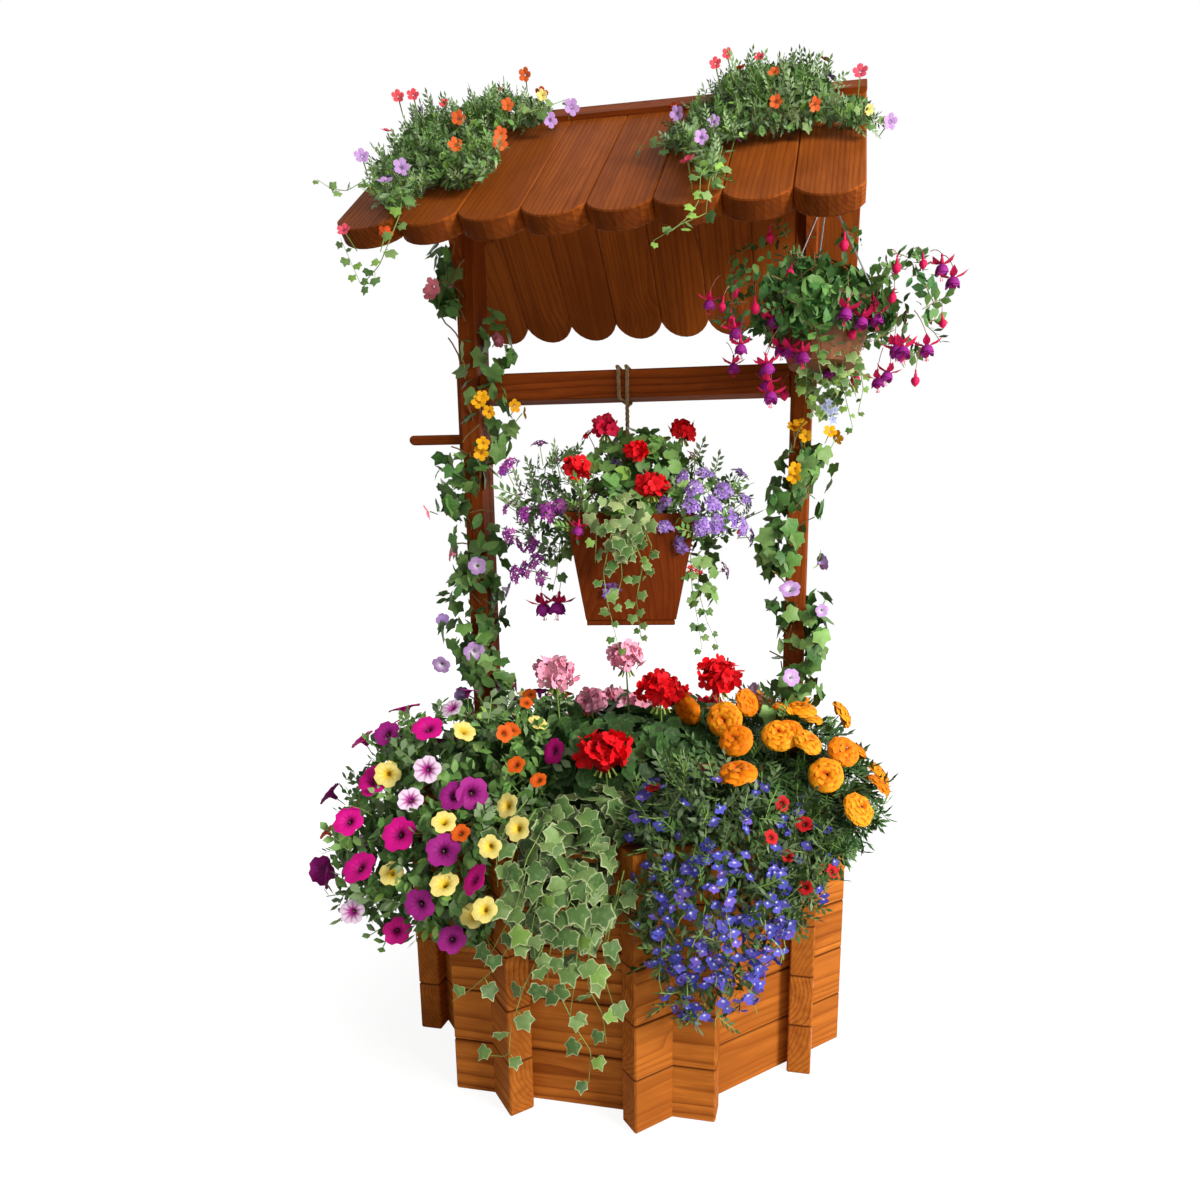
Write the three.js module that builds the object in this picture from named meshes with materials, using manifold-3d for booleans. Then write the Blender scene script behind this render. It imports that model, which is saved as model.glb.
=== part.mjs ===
// A wishing well planter. An eight-sided crib of crossed boards holds compost and flowers. Two
// posts with shaped heads carry a roof of round-ended boards. A winch beam turns in the posts, and
// its rope carries a tapered wooden pot. A round basket hangs from a screw eye in the roof.
//
// Millimetres, +Z up. The origin is on the ground at the centre of the crib, and -Y is the front.

import * as THREE from 'three';
import { mergeVertices } from 'three/addons/utils/BufferGeometryUtils.js';
import Module from 'manifold-3d';

const wasm = await Module();
wasm.setup();

// Shared fits and cuts
const fit_gap = 0.3;
const bearing_clearance = 0.4;
const overrun = 60;
const weld_distance = 0.001;
const plant_gap = 0.4;
const plant_spacing = 0.8;
const sweep_clearance = 5;

// Crib
const side_count = 8;
const course_count = 5;
const board_height = 95;
const board_thickness = 42;
const crib_apothem = 377;
const board_overrun = 71;
const board_ease = 2.5;

// Floor and filling
const floor_thickness = 18;
const filling_drop = 45;

// Posts and gables
const post_thickness = 38;
const post_depth = 56;
const gable_thickness = 20;
const gable_drop = 309;
const gable_reach = 110;
const gable_tip = 16;

// Roof
const ridge_height = 1694;
const roof_pitch = 43.5;
const roof_board_count = 8;
const roof_board_width = 102;
const roof_board_thickness = 30;
const roof_board_gap = 0.8;
const roof_board_ease = 2;
const notch_run = 384;
const scallop_depth = 35;
const ridge_beam_depth = 45;
const batten_width = 45;
const batten_depth = 25;
const batten_run = 116;
const cap_width = 36;
const cap_thickness = 8;
const cap_flat = 10;

// Winch
const beam_axis_height = 1228;
const beam_width = 50;
const beam_ease = 2.5;
const tenon_diameter = 26;
const tenon_stub = 7;
const arm_gap = 1;
const arm_thickness = 9;
const arm_width = 40;
const arm_end = 28;
const arm_corner = 4;
const arm_ease = 1.5;
const crank_throw = 90;
const handle_diameter = 19;
const handle_length = 122;
const handle_inset = 2;

// Rope
const rope_diameter = 8;
const rope_drop = 240;
const rope_offset = -3;
const winding_pitch = 16;
const winding_quarters = 6;
const knot_diameter = 24;
const knot_rise = 108;
const bail_diameter = 6;
const bail_foot_diameter = 10;

// Hanging pot
const pot_height = 200;
const pot_foot_width = 162;
const pot_rim_width = 232;
const pot_board = 14;
const pot_base_thickness = 10;
const pot_base_ease = 1.5;
const pot_turn = 18;
const root_rise = 14;

// Hanging basket
const hook_x = 352;
const hook_y = -147;
const wire_diameter = 2.6;
const eye_radius = 5;
const shank_length = 6;
const hook_radius = 4.5;
const hanger_drop = 195;
const hanger_wires = 3;
const hanger_wire_turn = 75;
const hanger_foot_diameter = 6;
const basket_height = 88;
const basket_foot_radius = 53;
const basket_rim_radius = 86;
const basket_wall = 3;
const basket_lip_height = 7;

// Facets
const shaft_sides = 24;
const arc_steps = 10;
const flare_steps = 8;
const corner_steps = 4;
const loop_sides = 6;
const cord_sides = 8;
const ring_steps = 12;
const basket_sides = 24;
const blob_columns = 8;
const blob_rows = 6;
const foot_columns = 6;
const foot_rows = 4;
const least_gap_samples = 4;

// Planting. Each row is one swelling of a mass of leaves: its centre and its three half-sizes.
// Crib rows are shares of the crib's apothem along X and Y, and of the wall's height along Z.
const petunia_shares = [
  [-0.66, -0.62, 1.09, 0.48, 0.42, 0.26],
  [-0.87, -0.87, 0.86, 0.33, 0.28, 0.28],
  [-1.04, -0.48, 0.96, 0.25, 0.37, 0.22],
  [-0.66, 0.18, 1.09, 0.42, 0.5, 0.18],
  [-0.52, -1.02, 0.84, 0.3, 0.19, 0.25],
];
const ivy_shares = [
  [-0.03, -0.87, 1.07, 0.32, 0.29, 0.16],
  [-0.07, -1.12, 0.84, 0.33, 0.18, 0.27],
  [-0.15, -1.14, 0.55, 0.37, 0.14, 0.25],
  [-0.11, -1.12, 0.32, 0.25, 0.12, 0.17],
];
const geranium_shares = [
  [0.05, -0.29, 1.12, 0.52, 0.42, 0.22],
  [0, 0.4, 1.1, 0.48, 0.5, 0.17],
  [-0.33, -0.29, 1.35, 0.13, 0.12, 0.16],
  [0.02, -0.21, 1.36, 0.11, 0.11, 0.18],
  [0.2, -0.29, 1.33, 0.13, 0.12, 0.14],
  [0.49, -0.29, 1.37, 0.13, 0.12, 0.17],
  [0.01, -0.6, 1.2, 0.16, 0.14, 0.14],
];
const lobelia_shares = [
  [0.54, -0.91, 1.06, 0.34, 0.29, 0.17],
  [0.57, -1.07, 0.82, 0.34, 0.2, 0.25],
  [0.57, -1.07, 0.61, 0.22, 0.16, 0.16],
  [0.82, -0.77, 0.91, 0.24, 0.22, 0.21],
];
const marigold_shares = [
  [0.75, -0.37, 1.16, 0.41, 0.4, 0.18],
  [1.03, -0.45, 1.05, 0.22, 0.32, 0.16],
  [0.67, 0.29, 1.14, 0.37, 0.45, 0.17],
];
// Post rows: across and forward from the post's centre in post depths, and up from the wall's top
// in shares of the height from there to the gable. Half-sizes in the same two measures.
const left_ivy_shares = [
  [-0.2, -0.55, 0.058, 1.15, 0.85, 0.099],
  [0.15, -0.6, 0.199, 1.1, 0.8, 0.099],
  [-0.35, -0.55, 0.348, 1.15, 0.85, 0.108],
  [0.25, -0.55, 0.496, 1.1, 0.8, 0.099],
  [-0.3, -0.55, 0.637, 1.2, 0.8, 0.099],
  [0.6, -0.65, 0.77, 1.2, 0.75, 0.091],
  [0.7, -0.55, 0.894, 1.1, 0.7, 0.083],
  [-0.35, -0.5, 1.026, 1, 0.65, 0.099],
];
const right_ivy_shares = [
  [0.1, -0.55, 0.058, 1.15, 0.85, 0.099],
  [-0.15, -0.6, 0.199, 1.1, 0.8, 0.099],
  [0.25, -0.55, 0.348, 1.1, 0.85, 0.108],
  [-0.2, -0.55, 0.496, 1.1, 0.8, 0.099],
  [0, -0.55, 0.629, 1.15, 0.75, 0.091],
];
// Roof rows: across in shares of the half length, then down the slope and out from it in shares
// of the run to the notches. Half-sizes across, along and out of the slope in shares of that run.
const left_roof_shares = [
  [-0.68, 0.37, 0.03, 0.37, 0.4, 0.13],
  [-0.86, 0.8, 0.03, 0.21, 0.22, 0.1],
  [-0.46, 0.72, 0.03, 0.17, 0.2, 0.09],
  [-0.42, 0.13, 0.05, 0.26, 0.15, 0.1],
  [-0.7, 0.1, 0.05, 0.22, 0.14, 0.12],
  [-0.74, 1.03, 0.04, 0.13, 0.2, 0.08],
  [-0.77, 1.22, -0.01, 0.12, 0.17, 0.08],
];
const right_roof_shares = [
  [0.62, 0.3, 0.03, 0.34, 0.34, 0.13],
  [0.93, 0.4, 0.03, 0.14, 0.22, 0.11],
  [0.36, 0.5, 0.03, 0.21, 0.22, 0.1],
  [0.6, 0.05, 0.06, 0.27, 0.14, 0.11],
  [0.46, 0.8, 0.03, 0.15, 0.22, 0.08],
  [0.42, 1.06, 0.03, 0.12, 0.19, 0.08],
  [0.37, 1.22, -0.03, 0.13, 0.15, 0.07],
];
// Pot rows, from the centre of the rim, in shares of the rim's width.
const pot_plant_shares = [
  [0, 0.02, 0.27, 0.65, 0.56, 0.41],
  [-0.54, -0.02, 0.05, 0.4, 0.42, 0.39],
  [-0.6, -0.06, -0.36, 0.21, 0.22, 0.39],
  [0.56, 0, 0, 0.4, 0.42, 0.37],
  [0.64, -0.02, -0.45, 0.15, 0.16, 0.47],
  [0.04, -0.55, -0.13, 0.34, 0.2, 0.41],
  [0.06, -0.58, -0.7, 0.15, 0.12, 0.32],
  [0, 0.52, 0, 0.4, 0.27, 0.38],
];
// Basket rows, from the centre of the rim, in shares of the rim's radius.
const basket_plant_shares = [
  [-0.08, 0, 0.62, 1.7, 1.2, 1],
  [-1.34, -0.22, 0.1, 0.7, 0.85, 0.98],
  [1.5, -0.15, 0.15, 0.72, 0.85, 1],
  [-1.15, -0.5, -0.95, 0.45, 0.5, 0.75],
  [1.5, -0.4, -0.75, 0.46, 0.5, 0.72],
  [-0.3, -1.1, -0.3, 0.45, 0.32, 0.5],
  [0.02, 1.01, -0.55, 0.8, 0.21, 1.1],
  [0.02, 0.45, -1.45, 0.75, 0.55, 0.85],
];

// Worked-out places
const pitch = THREE.MathUtils.degToRad(roof_pitch);
const pitch_cos = Math.cos(pitch);
const pitch_sin = Math.sin(pitch);
const pitch_tan = Math.tan(pitch);
const side_turn = (2 * Math.PI) / side_count;
const wall_height = board_height * course_count;
const board_length = 2 * (crib_apothem * Math.tan(side_turn / 2) + board_overrun);
const crib_inner = crib_apothem - board_thickness;
const filling_top = wall_height - filling_drop;
const post_outer = crib_inner - fit_gap;
const post_inner = post_outer - post_thickness;
const post_x = (post_outer + post_inner) / 2;
const gable_foot = ridge_height - gable_drop;
const gable_inner = post_outer - gable_thickness;
const roof_half = (roof_board_count * roof_board_width) / 2;
const roof_run = notch_run + scallop_depth;
const under_drop = (roof_board_thickness + fit_gap) / pitch_cos;
const ridge_beam_foot = underside(post_depth / 2) - ridge_beam_depth;
const post_top = ridge_beam_foot - fit_gap;
const tenon_radius = tenon_diameter / 2;
const arm_inner = post_outer + arm_gap;
const arm_outer = arm_inner + arm_thickness;
const rope_radius = rope_diameter / 2;
const beam_half = beam_width / 2;
const rope_y = -(beam_half + fit_gap + rope_radius);
const pot_rim_height = beam_axis_height - rope_drop;
const pot_foot_height = pot_rim_height - pot_height;
const wire_radius = wire_diameter / 2;
const link_rise = wire_diameter + fit_gap;

// Height of the roof boards' underside, less the fit, at a distance from the ridge.
function underside(distance) {
  return ridge_height - under_drop - Math.abs(distance) * pitch_tan;
}

// Closed solid of a geometry: only positions are kept, welded, without flattened triangles.
function solid(geometry) {
  const bare = new THREE.BufferGeometry();
  bare.setAttribute('position', geometry.getAttribute('position').clone());
  if (geometry.index) bare.setIndex(geometry.index.clone());
  const welded = mergeVertices(bare, weld_distance);
  const corners = welded.index.array;
  const kept = [];
  for (let i = 0; i < corners.length; i += 3) {
    const [a, b, c] = [corners[i], corners[i + 1], corners[i + 2]];
    if (a !== b && b !== c && c !== a) kept.push(a, b, c);
  }
  return new wasm.Manifold(new wasm.Mesh({
    numProp: 3,
    vertProperties: new Float32Array(welded.getAttribute('position').array),
    triVerts: new Uint32Array(kept),
  }));
}

// Geometry of a solid, for a mesh.
function geometryOf(shape) {
  const mesh = shape.getMesh();
  const geometry = new THREE.BufferGeometry();
  const places = new Float32Array(mesh.vertProperties);
  geometry.setAttribute('position', new THREE.BufferAttribute(places, 3));
  geometry.setIndex(new THREE.BufferAttribute(new Uint32Array(mesh.triVerts), 1));
  geometry.computeVertexNormals();
  return geometry;
}

// Union of a list of solids.
function union(shapes) {
  return shapes.reduce((sum, shape) => sum.add(shape));
}

// The largest of the bodies that a cut leaves.
function mainBody(shape) {
  const bodies = shape.decompose();
  return bodies.reduce((best, body) => (body.volume() > best.volume() ? body : best));
}

// Solid box between two corners.
function box(low, high) {
  const size = high.map((value, axis) => value - low[axis]);
  const centre = high.map((value, axis) => (value + low[axis]) / 2);
  return solid(new THREE.BoxGeometry(...size).translate(...centre));
}

// Turns a geometry drawn in XY and extruded along Z so that the extrusion runs along X.
function alongX(geometry) {
  const turn = new THREE.Matrix4().makeBasis(
    new THREE.Vector3(0, 1, 0),
    new THREE.Vector3(0, 0, 1),
    new THREE.Vector3(1, 0, 0),
  );
  return geometry.applyMatrix4(turn);
}

// Extrusion of a list of outline points with eased edges, from 0 to depth along Z.
function easedExtrusion(points, depth, ease) {
  const shape = new THREE.Shape(points.map(([x, y]) => new THREE.Vector2(x, y)));
  const geometry = new THREE.ExtrudeGeometry(shape, {
    depth: depth - 2 * ease,
    bevelEnabled: true,
    bevelThickness: ease,
    bevelSize: ease,
    bevelOffset: -ease,
    bevelSegments: 1,
  });
  return geometry.translate(0, 0, ease);
}

// Extrusion of a list of outline points with sharp edges, from 0 to depth along Z.
function plainExtrusion(points, depth) {
  const shape = new THREE.Shape(points.map(([x, y]) => new THREE.Vector2(x, y)));
  return new THREE.ExtrudeGeometry(shape, { depth, bevelEnabled: false });
}

// Outline of a board's section with its corners cut off, about its centre.
function easedSection(width, height, ease) {
  const x = width / 2;
  const y = height / 2;
  return [
    [x - ease, -y], [x, ease - y], [x, y - ease], [x - ease, y],
    [ease - x, y], [-x, y - ease], [-x, ease - y], [ease - x, -y],
  ];
}

// A bar along X about its centre, with all its edges eased.
function easedBar(length, width, height, ease) {
  const bar = alongX(easedExtrusion(easedSection(width, height, ease), length, ease));
  return bar.translate(-length / 2, 0, 0);
}

// A rod along X between two places, with flats that lie alike on every rod.
function rodX(radius, from, to) {
  const rod = new THREE.CylinderGeometry(radius, radius, to - from, shaft_sides);
  return rod.rotateZ(-Math.PI / 2).translate((from + to) / 2, 0, 0);
}

// Radius of a faceted hole that clears a shaft all round.
function holeRadius(shaft_radius, clearance) {
  return (shaft_radius + clearance) / Math.cos(Math.PI / shaft_sides);
}

// A rod between two points, which can taper, as a solid.
function rodBetween(from, to, radius, end_radius = radius) {
  const start = new THREE.Vector3(...from);
  const end = new THREE.Vector3(...to);
  const run = end.clone().sub(start);
  const rod = new THREE.CylinderGeometry(end_radius, radius, run.length(), loop_sides);
  const turn = new THREE.Quaternion();
  turn.setFromUnitVectors(new THREE.Vector3(0, 1, 0), run.clone().normalize());
  rod.applyQuaternion(turn);
  rod.translate(...start.add(end).divideScalar(2).toArray());
  return solid(rod);
}

// An ellipsoid about a centre, tipped about X by a lean, as a solid.
function blob(centre, radii, lean = 0) {
  const ball = new THREE.SphereGeometry(1, blob_columns, blob_rows);
  ball.rotateX(Math.PI / 2).scale(...radii).rotateX(lean);
  return solid(ball.translate(...centre));
}

// A small ball about a centre, as a solid.
function footBall(centre, radius) {
  const ball = new THREE.SphereGeometry(radius, foot_columns, foot_rows);
  return solid(ball.rotateX(Math.PI / 2).translate(...centre));
}

// An unbroken tube along points, with flat ends square to it.
function tube(points, radius, sides) {
  const count = points.length;
  const places = [];
  const faces = [];
  const tangentAt = (i) => {
    const before = points[Math.max(i - 1, 0)];
    const after = points[Math.min(i + 1, count - 1)];
    return after.clone().sub(before).normalize();
  };
  let side = new THREE.Vector3(1, 0, 0);
  points.forEach((point, i) => {
    const tangent = tangentAt(i);
    side = side.sub(tangent.clone().multiplyScalar(side.dot(tangent))).normalize();
    const up = tangent.clone().cross(side);
    for (let j = 0; j < sides; j += 1) {
      const angle = (2 * Math.PI * j) / sides;
      const spoke = side.clone().multiplyScalar(radius * Math.cos(angle));
      spoke.add(up.clone().multiplyScalar(radius * Math.sin(angle))).add(point);
      places.push(spoke.x, spoke.y, spoke.z);
    }
  });
  for (let i = 0; i + 1 < count; i += 1) {
    for (let j = 0; j < sides; j += 1) {
      const [a, b] = [i * sides + j, i * sides + ((j + 1) % sides)];
      faces.push(a, b, b + sides, a, b + sides, a + sides);
    }
  }
  const last = (count - 1) * sides;
  for (let j = 1; j + 1 < sides; j += 1) {
    faces.push(0, j + 1, j);
    faces.push(last, last + j, last + j + 1);
  }
  const geometry = new THREE.BufferGeometry();
  geometry.setAttribute('position', new THREE.Float32BufferAttribute(places, 3));
  geometry.setIndex(faces);
  geometry.computeVertexNormals();
  return geometry;
}

// Materials: colour, roughness and metalness of each finish.
const finishes = {
  crib_wood: [0xa9572a, 0.6, 0],
  roof_wood: [0x8a3f1e, 0.6, 0],
  frame_wood: [0x8f4420, 0.6, 0],
  pot_wood: [0x8c3d1c, 0.55, 0],
  panel_wood: [0x8d6b45, 0.8, 0],
  compost: [0x2e2118, 0.95, 0],
  jute: [0xa48458, 0.9, 0],
  steel: [0x9aa0a5, 0.4, 0.9],
  brown_plastic: [0x8a4a2c, 0.6, 0],
  leaf: [0x4d7a3a, 0.8, 0],
  petunia: [0xa8177f, 0.8, 0],
  variegated_ivy: [0x9db77c, 0.8, 0],
  geranium: [0xcf2b2b, 0.8, 0],
  lobelia: [0x5b5fd0, 0.8, 0],
  marigold: [0xf08a12, 0.8, 0],
  fuchsia: [0xc81e6a, 0.8, 0],
};

const well = new THREE.Group();

// Adds a named mesh with its own material to a group.
function addPiece(name, geometry, finish, group = well) {
  const [color, roughness, metalness] = finishes[finish];
  const material = new THREE.MeshStandardMaterial({ color, roughness, metalness });
  const mesh = new THREE.Mesh(geometry, material);
  mesh.name = name;
  group.add(mesh);
  return mesh;
}

// Section of a wall in thickness and height, from its outer face: eased outer corners, and a
// groove where two boards meet.
function wallSection() {
  const outer = [];
  for (let course = 0; course < course_count; course += 1) {
    const foot = course * board_height;
    outer.push([board_ease, foot], [0, foot + board_ease]);
    outer.push([0, foot + board_height - board_ease]);
  }
  const inner = [
    [board_ease, wall_height],
    [board_thickness - board_ease, wall_height],
    [board_thickness, wall_height - board_ease],
    [board_thickness, board_ease],
    [board_thickness - board_ease, 0],
  ];
  return outer.concat(inner).reverse();
}

// Slab that a neighbouring wall fills between two heights, grown by a clearance.
function wallSlab(turn, foot, top, clearance) {
  const half = board_length / 2 + clearance;
  const low = [-half, -crib_apothem - clearance, foot];
  const high = [half, -crib_inner + clearance, top];
  return box(low, high).rotate([0, 0, THREE.MathUtils.radToDeg(turn)]);
}

// One wall at the front. Walls halve into each other at the corners: an even wall keeps the lower
// half of each board there, and an odd wall keeps the upper half.
function wall(is_even) {
  const section = easedExtrusion(wallSection(), board_length, board_ease);
  let shape = solid(alongX(section).translate(-board_length / 2, -crib_apothem, 0));
  const slack = fit_gap / 2;
  for (let course = 0; course < course_count; course += 1) {
    const foot = course * board_height;
    const middle = foot + board_height / 2;
    const is_top = course === course_count - 1;
    const low = is_even ? middle - slack : foot - (course === 0 ? overrun : slack);
    const high = is_even ? foot + board_height + (is_top ? overrun : slack) : middle + slack;
    for (const turn of [-side_turn, side_turn]) {
      shape = shape.subtract(wallSlab(turn, low, high, fit_gap));
    }
  }
  return geometryOf(shape);
}

const wall_names = [
  'wall_front', 'wall_front_right', 'wall_right', 'wall_back_right',
  'wall_back', 'wall_back_left', 'wall_left', 'wall_front_left',
];
const even_wall = wall(true);
const odd_wall = wall(false);
wall_names.forEach((name, index) => {
  const mesh = addPiece(name, (index % 2 ? odd_wall : even_wall).clone(), 'crib_wood');
  mesh.rotation.z = index * side_turn;
});

// An eight-sided prism with flats towards the walls.
function octagon(apothem, foot, top) {
  const radius = apothem / Math.cos(side_turn / 2);
  const prism = new THREE.CylinderGeometry(radius, radius, top - foot, side_count);
  prism.rotateX(Math.PI / 2).rotateZ(side_turn / 2);
  return prism.translate(0, 0, (foot + top) / 2);
}

addPiece('floor_panel', octagon(crib_inner - fit_gap, 0, floor_thickness), 'panel_wood');

// Box of a post on one side of the well, grown by a clearance.
function postBox(side, foot, top, clearance) {
  const near = side * (post_inner - clearance);
  const far = side * (post_outer + clearance);
  const reach = post_depth / 2 + clearance;
  return box([Math.min(near, far), -reach, foot], [Math.max(near, far), reach, top]);
}

const filling_foot = floor_thickness + fit_gap;
const soil = [-1, 1].reduce(
  (shape, side) => shape.subtract(postBox(side, 0, wall_height, fit_gap)),
  solid(octagon(crib_inner - fit_gap, filling_foot, filling_top)),
);
addPiece('soil', geometryOf(soil), 'compost');

// Shaft hole through a post, along X.
function bearingHole() {
  const radius = holeRadius(tenon_radius, bearing_clearance);
  const drill = rodX(radius, -overrun - post_outer, post_outer + overrun);
  return solid(drill.translate(0, 0, beam_axis_height));
}

// Post on one side: the gable board is let into the outer half of its top.
function post(side) {
  const height = post_top - filling_foot;
  const bar = easedBar(height, post_depth, post_thickness, board_ease).rotateY(-Math.PI / 2);
  const shape = solid(bar.translate(side * post_x, 0, filling_foot + height / 2));
  const near = side * (gable_inner - fit_gap);
  const far = side * (post_outer + overrun);
  const reach = post_depth / 2 + overrun;
  const rebate = box(
    [Math.min(near, far), -reach, gable_foot - fit_gap],
    [Math.max(near, far), reach, post_top + overrun],
  );
  return geometryOf(shape.subtract(rebate).subtract(bearingHole()));
}

// Half outline of a gable board, from its foot round the flare to the ridge.
function gableHalf() {
  const half = post_depth / 2;
  const tip_top = underside(gable_reach);
  const flare_width = gable_reach - half;
  const flare_height = tip_top - gable_tip - gable_foot;
  const points = [];
  for (let step = 0; step <= flare_steps; step += 1) {
    const angle = (step / flare_steps) * (Math.PI / 2);
    const across = half + flare_width * (1 - Math.cos(angle));
    points.push([across, gable_foot + flare_height * Math.sin(angle)]);
  }
  points.push([gable_reach, tip_top]);
  return points;
}

// Gable board on one side, flush with the outer face of its post.
function gable(side) {
  const half = gableHalf();
  const mirrored = half.map(([across, height]) => [-across, height]).reverse();
  const outline = [...half, [0, underside(0)], ...mirrored];
  const board = alongX(easedExtrusion(outline, gable_thickness, arm_ease));
  return board.translate(side > 0 ? gable_inner : -post_outer, 0, 0);
}

[[-1, 'left'], [1, 'right']].forEach(([side, word]) => {
  addPiece(`post_${word}`, post(side), 'frame_wood');
  addPiece(`gable_${word}`, gable(side), 'frame_wood');
});

// Ridge beam: five-sided, on the post tops between the gable boards.
const beam_top = post_depth / 2;
const ridge_section = [
  [-beam_top, ridge_beam_foot], [beam_top, ridge_beam_foot], [beam_top, underside(beam_top)],
  [0, underside(0)], [-beam_top, underside(beam_top)],
];
const ridge_half = gable_inner - fit_gap;
const ridge_beam = alongX(plainExtrusion(ridge_section, 2 * ridge_half));
addPiece('ridge_beam', ridge_beam.translate(-ridge_half, 0, 0), 'frame_wood');

// Each slope is a group that leans back from the eave. In it Y runs up the slope to the ridge at
// zero, and Z runs out of the slope from the boards' top face.
const slopes = [['front', 0], ['back', Math.PI]].map(([word, turn]) => {
  const around = new THREE.Group();
  around.rotation.z = turn;
  around.position.z = ridge_height;
  const leaning = new THREE.Group();
  leaning.rotation.x = pitch;
  around.add(leaning);
  well.add(around);
  return [word, leaning];
});

// Outline of a roof board with its round lower end.
function roofBoardOutline() {
  const half = (roof_board_width - roof_board_gap) / 2;
  const radius = (half ** 2 + scallop_depth ** 2) / (2 * scallop_depth);
  const centre = radius - roof_run;
  const sweep = Math.atan2(half, radius - scallop_depth);
  const points = [[half, roof_board_thickness], [-half, roof_board_thickness]];
  for (let step = 0; step <= arc_steps; step += 1) {
    const angle = sweep * ((2 * step) / arc_steps - 1);
    points.push([radius * Math.sin(angle), centre - radius * Math.cos(angle)]);
  }
  return points;
}

// Half-space beyond the upright plane through the ridge, in a slope's own frame.
function beyondRidge() {
  const block = new THREE.BoxGeometry(roof_half, notch_run, notch_run);
  block.translate(0, notch_run / 2 - fit_gap / 2, 0);
  return solid(block.rotateX(-pitch));
}

// One roof board in the slope's frame, with its upper end cut upright at the ridge.
function roofBoard() {
  const board = easedExtrusion(roofBoardOutline(), roof_board_thickness, roof_board_ease);
  return geometryOf(solid(board.translate(0, 0, -roof_board_thickness)).subtract(beyondRidge()));
}

const roof_board = roofBoard();
const batten_length = 2 * (gable_inner - fit_gap);
for (const [word, slope] of slopes) {
  for (let index = 0; index < roof_board_count; index += 1) {
    const name = `roof_board_${word}_${index + 1}`;
    const mesh = addPiece(name, roof_board.clone(), 'roof_wood', slope);
    const across = (index - (roof_board_count - 1) / 2) * roof_board_width;
    mesh.position.x = word === 'front' ? across : -across;
  }
  const batten = easedBar(batten_length, batten_width, batten_depth, board_ease);
  const depth = -roof_board_thickness - fit_gap - batten_depth / 2;
  addPiece(`batten_${word}`, batten.translate(0, -batten_run, depth), 'frame_wood', slope);
}

// Outline of the ridge cap's upside-down V with its flattened top, in Y and Z, grown by a
// clearance.
function capOutline(clearance) {
  const width = cap_width + clearance;
  const thickness = cap_thickness + 2 * clearance;
  const lower = ridge_height + (fit_gap - clearance) / pitch_cos;
  const upper = lower + thickness / pitch_cos;
  const foot = lower - width * pitch_sin;
  const half = [
    [width * pitch_cos, foot],
    [width * pitch_cos + thickness * pitch_sin, foot + thickness * pitch_cos],
    [cap_flat / 2, upper - (cap_flat / 2) * pitch_tan],
  ];
  const mirrored = half.map(([across, height]) => [-across, height]).reverse();
  return [[0, lower], ...half, ...mirrored];
}

const ridge_cap = alongX(easedExtrusion(capOutline(0), 2 * roof_half, arm_ease));
addPiece('ridge_cap', ridge_cap.translate(-roof_half, 0, 0), 'roof_wood');

// The winch turns about X, so its group sits on the beam's axis.
const winch = new THREE.Group();
winch.position.z = beam_axis_height;
well.add(winch);

const beam_reach = post_inner - bearing_clearance;
const beam_body = solid(easedBar(2 * beam_reach, beam_width, beam_width, beam_ease));
const winch_beam = beam_body.add(solid(rodX(tenon_radius, -arm_outer, post_outer + tenon_stub)));
addPiece('winch_beam', geometryOf(winch_beam), 'frame_wood', winch);

// Outline of the crank arm in Y and Z: a bar that runs on past the tenon and the handle.
function armOutline() {
  const height = crank_throw + 2 * arm_end;
  return easedSection(arm_width, height, arm_corner).map(([y, z]) => [y, z - crank_throw / 2]);
}

const arm_plate = solid(alongX(easedExtrusion(armOutline(), arm_thickness, arm_ease)));
const arm_holes = [[tenon_radius, 0], [handle_diameter / 2, -crank_throw]].map(([radius, height]) => {
  const drill = rodX(holeRadius(radius, fit_gap), -overrun, arm_thickness + overrun);
  return solid(drill.translate(0, 0, height));
});
const crank_arm = arm_holes.reduce((shape, hole) => shape.subtract(hole), arm_plate);
addPiece('crank_arm', geometryOf(crank_arm).translate(-arm_outer, 0, 0), 'frame_wood', winch);

// Crank handle: a round peg through the arm with a domed outer end.
function handle() {
  const radius = handle_diameter / 2;
  const points = [new THREE.Vector2(0, 0), new THREE.Vector2(radius, 0)];
  for (let step = 0; step <= corner_steps; step += 1) {
    const angle = (step / corner_steps) * (Math.PI / 2);
    const along = handle_length - radius + radius * Math.sin(angle);
    points.push(new THREE.Vector2(step < corner_steps ? radius * Math.cos(angle) : 0, along));
  }
  const peg = geometryOf(solid(new THREE.LatheGeometry(points, shaft_sides)));
  return peg.rotateZ(Math.PI / 2).translate(-arm_inner - handle_inset, 0, -crank_throw);
}

addPiece('crank_handle', handle(), 'frame_wood', winch);

// The rope's turns on the beam, followed back from the middle of the front face: up that face and
// round one corner after another, six steps to each quarter.
function windingPoints() {
  const out = beam_half + fit_gap + rope_radius;
  const bend = fit_gap + rope_radius;
  const steps = winding_quarters * (corner_steps + 2);
  const points = [];
  const push = (quarter, across, height) => {
    const turn = (-quarter * Math.PI) / 2;
    const y = across * Math.cos(turn) - height * Math.sin(turn);
    const z = across * Math.sin(turn) + height * Math.cos(turn);
    const share = Math.min(Math.max((points.length - 1) / (steps - 2), 0), 1);
    const sweep = (share * winding_pitch * winding_quarters) / 4;
    points.push(new THREE.Vector3(rope_offset - sweep, y, z));
  };
  for (let quarter = 0; quarter < winding_quarters; quarter += 1) {
    push(quarter, -out, 0);
    for (let step = 0; step <= corner_steps; step += 1) {
      const angle = (step / corner_steps) * (Math.PI / 2);
      push(quarter, -beam_half - bend * Math.cos(angle), beam_half + bend * Math.sin(angle));
    }
  }
  push(winding_quarters, -out, 0);
  return points;
}

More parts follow.
